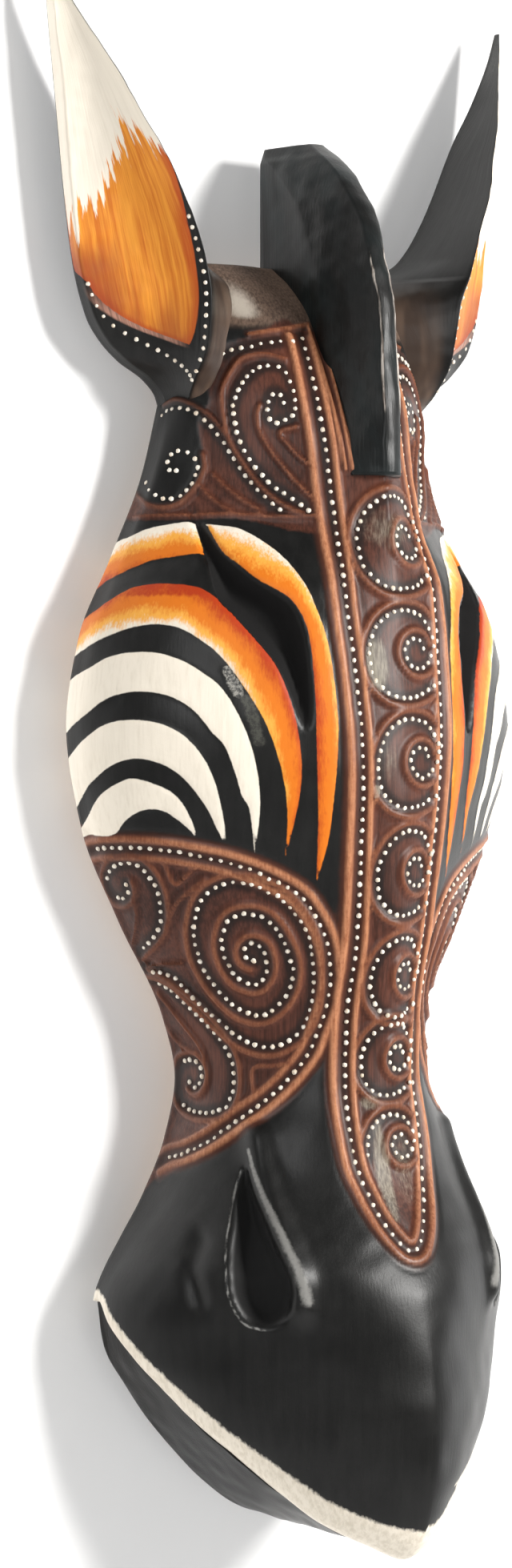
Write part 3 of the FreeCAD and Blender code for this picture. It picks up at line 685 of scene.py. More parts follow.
def face_material():
    p = Paint("stained and painted head")
    ridge, channel, brown = p.field("ridge"), p.field("channel"), p.field("brown")
    paint, warm, raw, lip = p.field("paint"), p.field("warm"), p.field("raw"), p.field("lip")
    black, black_rough = black_paint(p)
    wobble = p.noise(0.45, 0.45, 0.45, 3, 0.6, 9.0) - 0.5
    scratch = p.noise(0.9, 0.9, 0.9, 4, 0.65, 12.0)
    patch = p.noise(0.06, 0.06, 0.035, 4, 0.6, 14.0)
    grain = p.noise(1.3, 1.3, 0.05, 4, 0.6, 16.0)

    crown = p.mix(p.step(patch * 0.4 + grain * 0.6, 0.36, 0.64), (0.055, 0.034, 0.024), (0.16, 0.105, 0.075))
    crown_share = p.field("crown")
    # Where the crown field passes 1 the brown turns pale: a painted highlight on the crown dome.
    crown = p.mix(p.step(crown_share + (grain - 0.5) * 0.5, 1.15, 2.0), crown, (0.42, 0.37, 0.31))
    colour = p.mix(p.step(crown_share, 0.0, 0.8) * 0.92, black, crown)
    stain = p.mix(p.step(patch * 0.5 + grain * 0.5, 0.38, 0.64), STAIN, STAIN_LIGHT)
    channel_dark = 1.0 - p.step(channel + wobble * 1.2, 1.3, 3.4)
    stained = p.mix(channel_dark * 0.75, stain, BLACK)
    grey = p.step(p.field("grey") + wobble * 0.5 + (grain - 0.5) * 0.7, 0.25, 0.95)
    ashen = p.mix(p.step(grain, 0.35, 0.65), (0.12, 0.1, 0.075), (0.29, 0.26, 0.2))
    stained = p.mix(grey * 0.8, stained, ashen)
    colour = p.mix(p.step(brown + wobble * 1.5, -0.8, 0.7), colour, stained)

    rubbed = p.field("rubbed")
    rub = 1.0 - p.step(ridge + wobble * 0.5 + (scratch - 0.5) * 0.5, 0.25, 1.5)
    glow = 1.0 - p.step(ridge + wobble * 1.0, 0.8, 3.2)
    colour = p.mix(glow * 0.6 * rubbed, colour, RUBBED_DARK)
    light = p.step(grain * 0.6 + scratch * 0.4 + rubbed * 0.24, 0.5, 0.9)
    colour = p.mix(rub * (0.12 + 0.74 * rubbed), colour, p.mix(light, RUBBED, RUBBED_LIGHT))

    chalky = p.mix(p.step(scratch, 0.42, 0.62), (0.04, 0.04, 0.038), (0.30, 0.29, 0.26))
    colour = p.mix(p.step(2.1 - p.field("chip") + wobble * 3.0, 0.0, 0.8), colour, chalky)
    scuffed = p.step(2.4 - p.field("scuff") + wobble * 3.0, 0.0, 1.2)
    scuffed = scuffed * (0.25 + 0.5 * p.step(scratch, 0.4, 0.6))
    colour = p.mix(scuffed, colour, (0.075, 0.075, 0.062))
    stripe = p.step(paint + wobble * 0.5, -0.12, 0.28)
    colour = p.mix(stripe, colour, warm_paint(p, warm, 31.0))
    # The eye socket is painted a deeper, flatter black than the paint around it: painted shade in the hollow.
    colour = p.mix(p.step(p.field("eye"), -0.1, 0.5) * 0.85, colour, (0.0035, 0.003, 0.003))
    # Painted highlight: pale grey along the nostril rim and down its ridge, partly rubbed paint.
    shine = p.step(p.field("shine") + wobble * 0.7 + (scratch - 0.5) * 0.8, 0.15, 1.1)
    colour = p.mix(shine * 0.75, colour, (0.27, 0.265, 0.25))
    # The nostril hollows are painted a deeper, flatter black than the paint around them: painted shade in the
    # hollow.
    colour = p.mix(p.step(p.field("nostril"), 0.0, 1.2) * 0.7, colour, (0.0035, 0.0035, 0.0035))
    lip_edge = lip + wobble * 2.2 + (p.noise(1.2, 1.2, 0.2, 3, 0.6, 41.0) - 0.5) * 1.6
    white = p.mix(p.step(p.noise(0.7, 0.7, 0.12, 4, 0.65, 43.0), 0.38, 0.66), CHALK, CHALK_DULL)
    colour = p.mix(p.step(lip_edge, -0.5, 0.9) * 0.97, colour, white)

    wood, wood_grain = bare_wood(p)
    bare = p.step(raw + wobble * 0.35, 0.28, 0.5)
    colour = p.mix(bare, colour, wood)
    rough = black_rough + 0.14 * stripe + 0.08 * p.step(brown, 0.0, 1.0)
    rough = rough + 0.5 * p.step(p.field("eye"), 0.0, 1.0) + 0.4 * p.step(p.field("nostril"), 0.3, 1.6)
    rough = rough + 0.3 * p.step(crown_share, 0.0, 0.8)
    rough = rough * (1.0 - bare) + 0.68 * bare
    height = grain * 0.45 + scratch * 0.3 + wood_grain * bare
    return p.finish(colour, rough, p.bump(height, 0.2, 0.5))


def ear_material():
    p = Paint("painted ears")
    paint, level, across = p.field("paint"), p.field("level"), p.field("across")
    black, rough = black_paint(p, 60.0)
    along = p.node("ShaderNodeCombineXYZ", {}, {0: across * 15.0, 1: 0.0, 2: level * 0.03})
    fine = p.node("ShaderNodeCombineXYZ", {}, {0: across * 34.0, 1: 0.0, 2: level * 0.03})
    finger = p.noise(1, 1, 1, 4, 0.65, 62.0, along)
    broad = p.noise(0.12, 0.12, 0.012, 2, 0.5, 64.0)
    brush = p.noise(1, 1, 1, 3, 0.6, 66.0, fine)
    top = 416.0 + 31.0 * p.step(across, 0.05, 0.62) - 6.0 * p.step(across, 0.7, 1.0)
    top = top + (finger - 0.5) * 58.0 + (broad - 0.5) * 22.0
    chalk = p.mix(p.step(brush, 0.45, 0.75) * 0.45, CHALK, CHALK_DULL)
    glaze = p.mix(p.step(brush * 0.7 + broad * 0.3, 0.36, 0.64), (0.78, 0.31, 0.035), (0.54, 0.14, 0.010))
    rim = 1.0 - p.step(paint + (finger - 0.5) * 5.0, 0.4, 4.5)
    low = 1.0 - p.step(level + (broad - 0.5) * 20.0, 384.0, 404.0)
    glaze = p.mix(rim * 0.75, glaze, RED)
    glaze = p.mix(low * p.step(broad, 0.35, 0.6) * 0.75, glaze, (0.36, 0.085, 0.018))
    smear = (1.0 - p.step(across + (finger - 0.5) * 0.5, 0.08, 0.45)) * (1.0 - p.step(level, 404.0, 416.0))
    glaze = p.mix(smear * 0.8, glaze, (0.27, 0.045, 0.012))
    colour = p.mix(p.step(level - top, -1.6, 1.6), glaze, chalk)
    colour = p.mix(p.step(brush, 0.62, 0.8) * 0.18, colour, (0.2, 0.1, 0.05))
    share = p.step(paint + (brush - 0.5) * 1.4, -0.15, 0.35)
    pink = p.step(paint, -4.2, -2.4) * (1.0 - p.step(level, 388.0, 400.0)) * (1.0 - p.step(across, 0.6, 0.8))
    rest = p.mix(pink * (0.5 + 0.4 * p.step(brush, 0.4, 0.6)), black, (0.42, 0.22, 0.16))
    flank = p.step(across, 1.02, 1.2) * (1.0 - p.step(level + (broad - 0.5) * 12.0, 392.0, 412.0))
    brown = p.mix(p.step(broad, 0.4, 0.62), (0.045, 0.028, 0.02), (0.11, 0.07, 0.048))
    rest = p.mix(flank * 0.9, rest, brown)
    colour = p.mix(share, rest, colour)
    return p.finish(colour, rough + 0.12 * share, p.bump(brush + finger, 0.2, 0.5))


def black_material(name, seed, edge_wear_and_sheen=None, tint=None):
    p = Paint(name)
    colour, rough = black_paint(p, seed)
    fine = p.noise(1.2, 1.2, 0.08, 4, 0.6, seed + 1)
    if tint:
        colour = p.mix(p.step(p.noise(0.05, 0.05, 0.03, 3, 0.6, seed + 2), 0.4, 0.7), colour, tint)
    # Pale streaks where the named field is high: on the mane, worn paint and a painted highlight along its
    # front edges.
    if edge_wear_and_sheen:
        edge = p.field(edge_wear_and_sheen)
        streak = p.noise(0.6, 0.6, 0.04, 4, 0.7, seed + 4)
        share = p.step(edge + (streak - 0.5) * 0.9, 0.5, 0.8)
        worn_and_lit_edge = p.mix(p.step(fine, 0.4, 0.6), (0.13, 0.1, 0.08), (0.62, 0.56, 0.5))
        colour = p.mix(share * 0.8, colour, worn_and_lit_edge)
    return p.finish(colour, rough, p.bump(fine, 0.25, 0.5))


def dot_material():
    p = Paint("dotting paint")
    tone = p.noise(0.5, 0.5, 0.5, 3, 0.6, 5.0)
    colour = p.mix(p.step(tone, 0.4, 0.68), (0.86, 0.80, 0.70), (0.66, 0.55, 0.42))
    return p.finish(colour, 0.42 + 0.2 * tone, p.bump(p.noise(3, 3, 3, 2, 0.5, 8.0), 0.08, 0.4))


def dowel_material():
    p = Paint("bare dowel wood")
    colour, grain = bare_wood(p)
    return p.finish(colour, 0.6 + 0.1 * grain, p.bump(grain, 0.1, 0.5))


def steel_material():
    p = Paint("zinc plated steel")
    cloud = p.noise(0.5, 0.5, 0.5, 3, 0.6, 3.0)
    scuff = p.noise(4.0, 0.7, 4.0, 3, 0.6, 7.0)
    colour = p.mix(p.step(cloud, 0.4, 0.7), (0.62, 0.6, 0.55), (0.44, 0.42, 0.37))
    colour = p.mix(p.step(cloud + scuff * 0.3, 0.78, 0.92) * 0.5, colour, (0.22, 0.15, 0.09))
    return p.finish(colour, 0.28 + 0.2 * scuff, p.bump(scuff, 0.05, 0.4), metal=1.0, shine=0.5)


# ------------------------------------------------------------------ the face block
ROWS = 385


def spaced(line, step):
    run = np.concatenate([[0], np.cumsum(np.hypot(*np.diff(line, axis=0).T))])
    at = np.linspace(0, run[-1], max(2, round(run[-1] / step) + 1))
    return np.stack([np.interp(at, run, line[:, 0]), np.interp(at, run, line[:, 1])], 1)


def hollow_shape(level):
    middle, reach = (HOLLOW_LOW + HOLLOW_HIGH) / 2, (HOLLOW_HIGH - HOLLOW_LOW) / 2
    fade = np.sqrt(np.clip(1.04 - np.abs((level - middle) / reach) ** 5, 0, None))
    return fade * (smooth(HALF_WIDTH, level) - 15.0), fade * (smooth(RIDGE_DEPTH, level) - 17.0)


def hollow_rings():
    """Loops of the scooped hollow from its rim inwards, left side up and right side down."""
    level = np.linspace(HOLLOW_LOW, HOLLOW_HIGH, 121)
    half, _ = hollow_shape(level)
    rim_x = np.concatenate([-half, half[::-1]]) + 0.35 * ripple(np.stack([level, level], 1), 40, 3).repeat(2)
    rim_h = np.concatenate([level, level[::-1]])
    middle = (HOLLOW_LOW + HOLLOW_HIGH) / 2
    loops = []
    for s in np.linspace(0, 1, 34) ** 1.35 * 0.97:
        x = rim_x * (1 - s)
        h = rim_h + (middle + (rim_h - middle) * 0.84 - rim_h) * s
        half_h, deep = hollow_shape(h)
        share = np.clip(1 - np.clip(np.abs(x) / half_h, 0, 1) ** 1.8, 0, 1) ** (1 / 1.8)
        gouge = np.abs(np.sin(np.pi * (x / 8.5 + 0.35 * np.sin(h / 11.0))))
        chop = np.abs(np.sin(np.pi * (h / 17.0 + 0.4 * np.sin(x / 9.0))))
        z = deep * share + min(1.0, s * 9) * (0.9 * gouge + 0.5 * chop - 0.8)
        if s == 0:
            z = np.zeros(len(x))
        loops.append(np.stack([x, z, h], 1))
    return loops


def rounded_box(half, low, high, corner, depth):
    out = []
    for cx, cz, start in ((half, low, -90), (half, high, 0), (-half, high, 90), (-half, low, 180)):
        for a in np.radians(np.linspace(start, start + 90, 6)):
            x = cx - math.copysign(corner, cx) + corner * math.cos(a)
            h = cz + (corner if cz == low else -corner) + corner * math.sin(a)
            out.append((x, depth, h))
    return np.array(out)


def build_face(material):
    low = lip_levels()
    share = np.linspace(0, 1, ROWS)[:, None]
    level = low[None, :] * (1 - share) + CROWN * share
    column = np.broadcast_to(np.arange(len(ACROSS), dtype=float), level.shape)
    x, z, run = read_table(column, level)
    base = np.stack([x, z, level], 2)
    normal = grid_normals(base)
    flat_run, flat_level = run.ravel(), level.ravel()
    out, paint = relief(flat_run, flat_level)
    spots = base.reshape(-1, 3)
    mouth_line = np.stack([run[0], level[0]], 1)
    from_lip = away(np.stack([flat_run, flat_level], 1), mouth_line[::2])
    out = out + 0.16 * ripple(spots, 34.0, 11) - 0.7 * np.exp(-(from_lip / 0.9) ** 2)
    out *= ease(spots[:, 1], 0.0, 3.0)
    places = spots + normal.reshape(-1, 3) * out[:, None]
    places[:, 1] = np.maximum(places[:, 1], 0.0)
    width = np.where(flat_run > 0, np.interp(flat_level, (0, 22, 40, 60), (17, 18, 10, 3)),
                     np.interp(flat_level, (0, 20, 50, 78), (10.5, 8.6, 6.4, 3.4)))
    width += (12 - width) * np.exp(-((flat_run - 6) / 12) ** 2) * (flat_level < 20)
    paint["lip"] = np.where(flat_level < 90, width - from_lip, -9.0)

    rows, cols = level.shape
    faces = []
    for i in range(rows - 1):
        a = i * cols
        for j in range(cols - 1):
            faces.append((a + j, a + j + 1, a + cols + j + 1, a + cols + j))
    front_corners = 4 * len(faces)
    top = (rows - 1) * cols
    faces.append(tuple(top + j for j in range(cols)))
    flat_part = np.where(level[0] > MOUTH_CORNER - 0.01)[0]
    left, right = flat_part[flat_part < cols // 2].max(), flat_part[flat_part > cols // 2].min()
    faces.append(tuple(list(range(left + 1)) + list(range(right, cols))))
    faces.append(tuple(range(left, right + 1)))

    loops = hollow_rings()
    mouth = rounded_box(POCKET_HALF, POCKET_LOW, POCKET_HIGH, POCKET_CORNER, 0.0)
    floor = rounded_box(POCKET_HALF, POCKET_LOW, POCKET_HIGH, POCKET_CORNER, POCKET_DEPTH)
    start = len(places)
    extra = np.concatenate(loops + [mouth, floor])
    places = np.concatenate([places, extra])
    n = len(loops[0])
    for k in range(len(loops) - 1):
        a, b = start + k * n, start + (k + 1) * n
        faces += [(a + i, a + (i + 1) % n, b + (i + 1) % n, b + i) for i in range(n)]
    last = start + (len(loops) - 1) * n
    faces += [(last + i, last + i + 1, last + n - 2 - i, last + n - 1 - i) for i in range(n // 2 - 1)]
    pocket = start + len(loops) * n
    m = len(mouth)
    faces += [(pocket + i, pocket + (i + 1) % m, pocket + m + (i + 1) % m, pocket + m + i) for i in range(m)]
    faces.append(tuple(pocket + m + i for i in range(m)))

    rim = [i * cols for i in range(rows)] + [i * cols + cols - 1 for i in range(rows - 1, -1, -1)]
    rings = [rim, list(range(start, start + n)), list(range(pocket, pocket + m))]
    ids = sum(rings, [])
    edges, at = [], 0
    for ring in rings:
        edges += [(at + i, at + (i + 1) % len(ring)) for i in range(len(ring))]
        at += len(ring)
    flat = [Vector((places[i][0], places[i][2])) for i in ids]
    _, _, triangles, origin, _, _ = geometry.delaunay_2d_cdt(flat, edges, [], 1, 1e-5)
    centre = np.array([np.mean([flat[origin[v][0]] for v in t], axis=0) for t in triangles])
    holes = [places[r][:, [0, 2]] for r in rings[1:]]
    keep = (inside(centre, holes[0]) < 0) & (inside(centre, holes[1]) < 0)
    faces += [tuple(ids[origin[v][0]] for v in t) for t, ok in zip(triangles, keep) if ok]

    blank = {"ridge": 99.0, "channel": 99.0, "chip": 99.0, "scuff": 99.0, "brown": -9.0, "paint": -9.0,
             "eye": -9.0, "lip": -9.0, "shine": -9.0, "nostril": -9.0}
    fields = {k: np.concatenate([v, np.full(len(extra), blank.get(k, 0.0))]) for k, v in paint.items()}
    fields["raw"] = np.concatenate([np.zeros(start), np.ones(len(extra))])
    uv = np.zeros((len(places), 2))
    uv[:start, 0] = 0.005 + 0.69 * (column.ravel() / (cols - 1))
    uv[:start, 1] = 0.005 + 0.99 * np.broadcast_to(share, level.shape).ravel()
    return closed(make_piece("carved_face", places, faces, "mask", ["face"], material,
                             fields, uv, front_corners))


def domes(name, centres, normals, radii, material):
    """Many little raised blobs of paint, each a closed dome."""
    count, places, faces = 10, [], []
    rings = [(0.96, -0.45), (1.0, 0.1), (0.82, 0.55), (0.48, 0.88)]
    for c, n, r in zip(centres, normals, radii):
        side = np.cross(n, (0.0, 0.0, 1.0) if abs(n[2]) < 0.9 else (1.0, 0.0, 0.0))
        side /= np.linalg.norm(side)
        other = np.cross(n, side)
        start = len(places)
        wobble = 1 + 0.07 * rng.normal(size=count)
        for reach, lift in rings:
            for k in range(count):
                a = 2 * math.pi * k / count
                places.append(c + r * reach * wobble[k] * (math.cos(a) * side + math.sin(a) * other)
                              + n * DOT_HEIGHT * lift)
        places.append(c + n * DOT_HEIGHT)
        for i in range(len(rings) - 1):
            for k in range(count):
                a, b = start + i * count, start + (i + 1) * count
                faces.append((a + k, a + (k + 1) % count, b + (k + 1) % count, b + k))
        top = start + (len(rings) - 1) * count
        faces += [(top + k, top + (k + 1) % count, start + len(rings) * count) for k in range(count)]
        faces.append(tuple(start + k for k in range(count)))
    return closed(make_piece(name, places, faces, "mask", [], material))


def face_dots(material):
    spots = [spaced(band_dots, DOT_PITCH)]
    straight = [(border_dots, DOT_PITCH), (brow_line, DOT_PITCH)]
    for line, pitch in straight + [(c, CURL_PITCH) for c in curl_dots]:
        p = spaced(line, pitch)
        spots += [p, p * (-1, 1)]
    spots += [spaced(line, CURL_PITCH) for line in band_coils]
    p = np.concatenate(spots)
    reach = np.interp(p[:, 1], LEVELS, TABLE[:, 2, -1])
    p = p[np.abs(p[:, 0]) < reach - 4]
    p = p + rng.normal(0, 0.12, p.shape)
    taken = []
    for q in p:
        if all(abs(q[0] - t[0]) + abs(q[1] - t[1]) > 1.9 for t in taken):
            taken.append(q)
    p = np.array(taken)
    c = head_places(p[:, 0], p[:, 1])
    across = head_places(p[:, 0] + 0.8, p[:, 1]) - head_places(p[:, 0] - 0.8, p[:, 1])
    up = head_places(p[:, 0], p[:, 1] + 0.8) - head_places(p[:, 0], p[:, 1] - 0.8)
    n = np.cross(up, across)
    n /= np.linalg.norm(n, axis=1, keepdims=True)
    n *= np.sign(n[:, 1:2] + 1e-9)
    out, _ = relief(p[:, 0], p[:, 1])
    return domes("raised_dots", c + n * out[:, None], n, DOT_RADIUS * rng.uniform(0.84, 1.14, len(p)),
                 material)


# ------------------------------------------------------------------ ears
LEFT_MARGIN = [(376, 40), (379, 27), (382, 21), (386, 13), (390, 7), (395, 2.5), (400, 0), (406, -7),
               (499, -8)]
RIGHT_MARGIN = [(376, 9), (385, 5), (404, 4), (417, 3.2), (426, 1.2), (436, 0.4), (499, 0.3)]
EAR_DOTS = [[(0.02, 399), (0.05, 391), (0.14, 385.5), (0.32, 381), (0.52, 377), (0.72, 373), (0.92, 369.5)],
            [(0.95, 419), (0.95, 400), (0.95, 390), (0.95, 380), (0.95, 372)]]


def head_depth(x, level):
    w, e = smooth(HALF_WIDTH, level), smooth(EDGE_DEPTH, level)
    n = smooth(ROUNDNESS, level)
    share = np.clip(1 - np.clip(np.abs(x) / w, 0, 1) ** n, 0, 1) ** (1 / n)
    return e + (smooth(RIDGE_DEPTH, level) - e) * share


def ear_edges(level):
    outer, front = smooth(EAR_OUTER, level), smooth(EAR_FRONT_X, level)
    depth, inner = smooth(EAR_FRONT_DEPTH, level), smooth(EAR_INNER, level)
    rim = np.minimum(EAR_RIM, 0.5 * depth)
    return outer, front, depth, inner, rim


def ear_dish(share, level):
    """Places on the dished outer side of the right ear."""
    outer, front, depth, _, rim = ear_edges(level)
    chord = np.stack([front - outer, depth - rim], -1)
    size = np.linalg.norm(chord, axis=-1, keepdims=True)
    into = np.stack([-chord[..., 1], chord[..., 0]], -1) / size
    bow = np.sin(np.pi * np.clip(share, 0, 1)) ** 0.8
    sunk = EAR_DISH * np.minimum(1.0, (outer - front) / 25) * bow
    spot = np.stack([outer, rim], -1) + chord * share[..., None] + into * sunk[..., None]
    return np.concatenate([spot, level[..., None]], -1)


def build_ear(side, node, material):
    levels = np.linspace(EAR_LOW, EAR_TIP, 190)
    outer, front, depth, inner, rim = ear_edges(levels)
    joint = 31 + (CROWN - levels) * 12 / 47
    valley = np.where(levels < CROWN, np.maximum(1.6, head_depth(joint, levels)), 1.6)
    loops, paints, shares = [], [], []
    for k, h in enumerate(levels):
        t = np.linspace(0, 1, 64)
        dish = ear_dish(t, np.full(64, h))[:, :2]
        s = np.linspace(0, 1, 34)[1:, None]
        a, c = np.array([front[k], depth[k]]), np.array([inner[k], valley[k]])
        b = (a + c) / 2 + np.array([0.12 * (front[k] - inner[k]), -0.04 * (depth[k] - valley[k])])
        flank = (1 - s) ** 2 * a + 2 * s * (1 - s) * b + s ** 2 * c
        foot = c * (1, 0) + (0, valley[k]) * (1 - np.linspace(0, 1, 6)[1:, None])
        back = np.stack([inner[k] + (outer[k] - inner[k]) * np.linspace(0, 1, 26)[1:], np.zeros(25)], 1)
        strip = np.stack([np.full(5, outer[k]), rim[k] * np.linspace(0, 1, 7)[1:-1]], 1)
        loop = np.concatenate([dish, flank, foot, back, strip])
        width = np.hypot(front[k] - outer[k], depth[k] - rim[k])
        across = np.full(len(loop), -9.0)
        across[:64] = t * width
        across[64:97] = width + s[:, 0] * 12
        across[-5:] = -rim[k] * (1 - np.linspace(0, 1, 7)[1:-1])
        paint = np.minimum(across - smooth(LEFT_MARGIN, h), width - across - smooth(RIGHT_MARGIN, h))
        body = 0.5 * (np.roll(loop, 1, 0) + np.roll(loop, -1, 0))
        soft = loop * 0.5 + body * 0.5
        loop = np.where(loop[:, 1:2] > 0.01, soft, loop)
        loops.append(np.concatenate([loop, np.full((len(loop), 1), h)], 1))
        paints.append(paint)
        shares.append(across / width)
    n = len(loops[0])
    p = np.concatenate(loops)
    lump = 0.3 * ripple(p, 26.0, 21) * ease(p[:, 1], 0.3, 4.0)
    p[:, 1] += lump
    p[:, 0] *= side
    fields = {"paint": np.concatenate(paints), "across": np.concatenate(shares), "level": p[:, 2]}
    return closed(make_piece(node.replace("ear", "carved_ear"), p, tube_faces(len(levels), n), "mask", [node],
                             material, fields))


def ear_dots(material):
    centres, normals = [], []
    for side in (-1, 1):
        for line in EAR_DOTS:
            path = curve([(v * 36, h) for v, h in line], 0.5)
            q = spaced(path, DOT_PITCH)
            v, h = q[:, 0] / 36, q[:, 1]
            c = ear_dish(v, h)
            across = ear_dish(v + 0.02, h) - ear_dish(v - 0.02, h)
            up = ear_dish(v, h + 0.5) - ear_dish(v, h - 0.5)
            n = np.cross(across, up)
            n /= np.linalg.norm(n, axis=1, keepdims=True)
            n *= np.sign(n[:, 0:1] + n[:, 1:2])
            centres.append(c * (side, 1, 1))
            normals.append(n * (side, 1, 1))
    c, n = np.concatenate(centres), np.concatenate(normals)
    return domes("ear_dots", c, n, DOT_RADIUS * rng.uniform(0.8, 1.0, len(c)), material)


# ------------------------------------------------------------------ mane crest and lower jaw
def build_mane(material):
    levels = np.concatenate([np.linspace(MANE_LOW, 440, 100), np.linspace(441, MANE_TOP, 16)])
    loops, edge_wear_and_sheen = [], []
    for h in levels:
        front = float(smooth(MANE_FRONT, h))
        rear = max(2.0, float(smooth(RIDGE_DEPTH, h)) - 6.0 if h < CROWN else 2.0)
        front = max(front, rear + 4)
        start = max(front - 22.0, rear + 1.0)
        trim = max(0.0, h - 444.0) * 0.35
        wide, thin = 9.5 - trim, max(3.4 - trim * 0.5, 1.6)
        side = [(wide, z) for z in np.linspace(rear, start, 14)]
        side += [(wide + (thin - wide) * ((z - start) / (front - start)) ** 1.15, z)
                 for z in np.linspace(start, front, 22)[1:]]
        nose = [(x, front + 0.7 * (1 - (x / thin) ** 2)) for x in np.linspace(thin, -thin, 11)[1:-1]]
        loop = np.array(side + nose + [(-x, z) for x, z in side[::-1]])
        loops.append(np.concatenate([loop, np.full((len(loop), 1), h)], 1))
        # Pale along both front edges of the crest: partly worn paint, partly a painted highlight.
        edge = np.hypot(loop[:, 0] - thin, loop[:, 1] - front)
        other = np.hypot(loop[:, 0] + thin, loop[:, 1] - front) + 0.6
        here = ease(h, 353.0, 361.0) * (1 - ease(h, 404.0, 424.0))
        edge_wear_and_sheen.append((1.0 - np.minimum(np.minimum(edge, other) / 2.4, 1.0)) * here)
    p = np.concatenate(loops)
    away_from_slot = ease(p[:, 1] - smooth(RIDGE_DEPTH, p[:, 2]), -2.0, 3.0)
    p[:, 0] += 0.35 * ripple(p, 22.0, 31) * away_from_slot
    p[:, 1] += 0.35 * ripple(p, 30.0, 32) * ease(p[:, 1], 6, 14)
    fields = {"edge_wear_and_sheen": np.concatenate(edge_wear_and_sheen)}
    return closed(make_piece("carved_mane", p, tube_faces(len(levels), len(loops[0])), "mask", ["mane"],
                             material, fields))


def build_jaw(material):
    right = np.array([(half, h) for h, half in JAW_OUTLINE], float)
    outline = curve(np.concatenate([(right * (-1, 1))[:0:-1], right]), 1.6)
    outline[:, 1] = np.minimum(outline[:, 1], MOUTH_CORNER - 0.1)
    across = np.stack([np.linspace(72, -72, 40)[1:-1], np.full(38, MOUTH_CORNER - 0.1)], 1)
    ring = np.concatenate([outline, across])
    front = np.maximum(MOUTH_DEPTH - MOUTH_SLOPE * ring[:, 1] - 0.1, 1.0)
    middle = np.array([0.0, 40.0])
    loops = []
    for s in np.concatenate([[0.0, 0.015, 0.04], np.linspace(0.08, 1.0, 34)]):
        pull = 0.012 * np.exp(-s / 0.02)
        flat = ring + (middle - ring) * pull
        loops.append(np.column_stack([flat[:, 0], front * s, flat[:, 1]]))
    p = np.concatenate(loops)
    middle3 = np.array([0.0, 20.0, 40.0])
    way = p - middle3
    way[:, 1] = 0
    way /= np.linalg.norm(way, axis=1, keepdims=True)
    lump = 0.3 * ripple(p, 30.0, 41)
    keep = ease(p[:, 1], 0.2, 2.0) * (p[:, 2] < MOUTH_CORNER - 1)
    p += way * ((lump - 0.35) * keep)[:, None]
    return closed(make_piece("lower_jaw_board", p, tube_faces(len(loops), len(ring)), "mask", ["lower_jaw"],
                             material))


def dress(node, body, material, edge):
    """A CAD piece shown with softened edges and its own finish."""
    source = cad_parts[node]
    mesh = source.data.copy()
    mesh.materials.clear()
    mesh.materials.append(material)
    obj = bpy.data.objects.new(node + "_finished", mesh)
    bpy.context.scene.collection.objects.link(obj)
    b = bmesh.new()
    b.from_mesh(mesh)
    bmesh.ops.remove_doubles(b, verts=b.verts, dist=1e-6)
    bmesh.ops.dissolve_limit(b, angle_limit=math.radians(1.0), verts=b.verts, edges=b.edges)
    sharp = [e for e in b.edges if len(e.link_faces) == 2 and e.calc_face_angle(0) > math.radians(40)]
    if edge:
        bmesh.ops.bevel(b, geom=sharp, offset=edge / 1000, segments=2, affect="EDGES", clamp_overlap=True)
    b.to_mesh(mesh)
    b.free()
    mesh.polygons.foreach_set("use_smooth", np.ones(len(mesh.polygons), bool))
    mesh.set_sharp_from_angle(angle=math.radians(35))
    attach(obj, body)
    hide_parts(node)
    return obj


# ------------------------------------------------------------------ build
build_face(face_material())
dots = dot_material()
face_dots(dots)
ears = ear_material()
build_ear(-1, "ear_left", ears)
build_ear(1, "ear_right", ears)
ear_dots(dots)
build_mane(black_material("black mane paint", 80.0, edge_wear_and_sheen="edge_wear_and_sheen", tint=(0.009, 0.014, 0.0145)))
build_jaw(black_material("brown black jaw paint", 90.0, tint=(0.005, 0.0036, 0.003)))
wood, steel = dowel_material(), steel_material()
for node in ("ear_dowels", "mane_dowels", "jaw_dowels"):
    dress(node, "mask", wood, 0.0)
dress("hanger_plate", "mask", steel, 0.15)
dress("hanger_ring", "ring", steel, 0.0)
dress("hanger_screws", "mask", steel, 0.1)


# ------------------------------------------------------------------ wall, light and camera
def pale_wall():
    """A pale wall that lets the room behind it be seen from the back."""
    p = Paint("pale wall")
    tone = p.noise(0.01, 0.01, 0.01, 3, 0.5, 2.0)
    p.finish(p.mix(tone, (0.9, 0.9, 0.9), (0.93, 0.93, 0.93)), 0.8)
    p.feed(p.shader.inputs["Emission Color"], (1.0, 1.0, 1.0))
    p.feed(p.shader.inputs["Emission Strength"], 0.03)
    clear = p.node("ShaderNodeBsdfTransparent")
    behind = p.node("ShaderNodeNewGeometry", out="Backfacing")
    both = p.node("ShaderNodeMixShader", {}, {0: behind, 1: Value(p, p.shader.outputs[0]), 2: clear})
    p.tree.links.new(both.socket, p.tree.nodes["Material Output"].inputs["Surface"])
    mesh = bpy.data.meshes.new("wall")
    w, y = STUDIO, WALL_GAP
    corners = [(-w, y, FLOOR), (w, y, FLOOR), (w, y, CEILING), (-w, y, CEILING)]
    mesh.from_pydata(corners, [], [(0, 1, 2, 3)])
    mesh.materials.append(p.material)
    wall = bpy.data.objects.new("wall", mesh)
    wall.visible_shadow = False
    bpy.context.scene.collection.objects.link(wall)


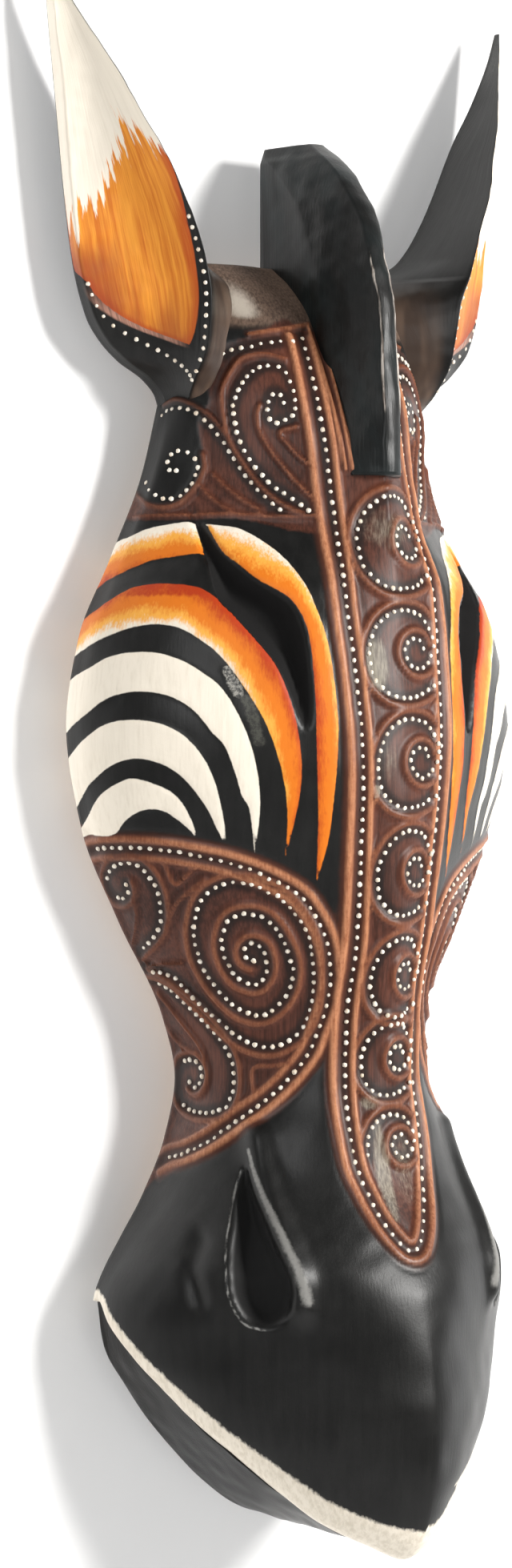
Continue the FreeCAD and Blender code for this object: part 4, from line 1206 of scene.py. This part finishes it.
def pale_floor():
    """A plain floor well below the mask, on both sides of the wall."""
    p = Paint("pale floor")
    tone = p.noise(0.01, 0.01, 0.01, 3, 0.5, 6.0)
    p.finish(p.mix(tone, (0.86, 0.86, 0.86), (0.9, 0.9, 0.9)), 0.7 + 0.1 * tone)
    mesh = bpy.data.meshes.new("floor")
    w, z = STUDIO, FLOOR
    mesh.from_pydata([(-w, -w, z), (w, -w, z), (w, w, z), (-w, w, z)], [], [(0, 1, 2, 3)])
    mesh.materials.append(p.material)
    floor = bpy.data.objects.new("floor", mesh)
    bpy.context.scene.collection.objects.link(floor)


def lamp(name, place, aim, size, power, colour=(1, 1, 1), shadow=True):
    data = bpy.data.lights.new(name, "AREA")
    data.shape, data.size, data.size_y = "RECTANGLE", size[0], size[1]
    data.energy, data.color, data.use_shadow = power, colour, shadow
    obj = bpy.data.objects.new(name, data)
    obj.location = place
    obj.rotation_euler = (Vector(aim) - Vector(place)).to_track_quat("-Z", "Y").to_euler()
    bpy.context.scene.collection.objects.link(obj)


pale_wall()
pale_floor()
world = bpy.data.worlds.new("studio")
world.use_nodes = True
world.node_tree.nodes["Background"].inputs[0].default_value = (1.0, 1.0, 1.0, 1.0)
world.node_tree.nodes["Background"].inputs[1].default_value = 0.21
bpy.context.scene.world = world
bpy.context.scene.view_settings.view_transform = "Standard"
centre = (0.0, 0.0, -0.13)
lamp("key", (0.62, -1.25, 0.22), centre, (0.28, 0.34), 28.0, (1.0, 0.985, 0.96))
lamp("fill", (-1.15, -1.2, 0.3), centre, (0.45, 0.9), 9.0, shadow=False)
lamp("side strip", (1.5, -0.25, -0.25), centre, (0.3, 1.0), 4.5, shadow=False)
lamp("back fill", (-0.5, 1.4, -0.1), centre, (1.2, 1.2), 12.0)

camera = bpy.data.objects.new("camera", bpy.data.cameras.new("camera"))
turn, reach = math.radians(-36.0), 1.19
camera.location = (reach * math.sin(turn), -reach * math.cos(turn), (242.0 - NAIL_HEIGHT) / 1000)
camera.rotation_euler = (math.radians(90), 0.0, turn)
camera.data.sensor_width = 36.0
camera.data.lens = 36.0 * 4516 / 1959
camera.data.shift_x, camera.data.shift_y = -30 / 1959, 2.5 / 1959 * -1
camera.data.dof.use_dof = False
bpy.context.scene.collection.objects.link(camera)
bpy.context.scene.camera = camera
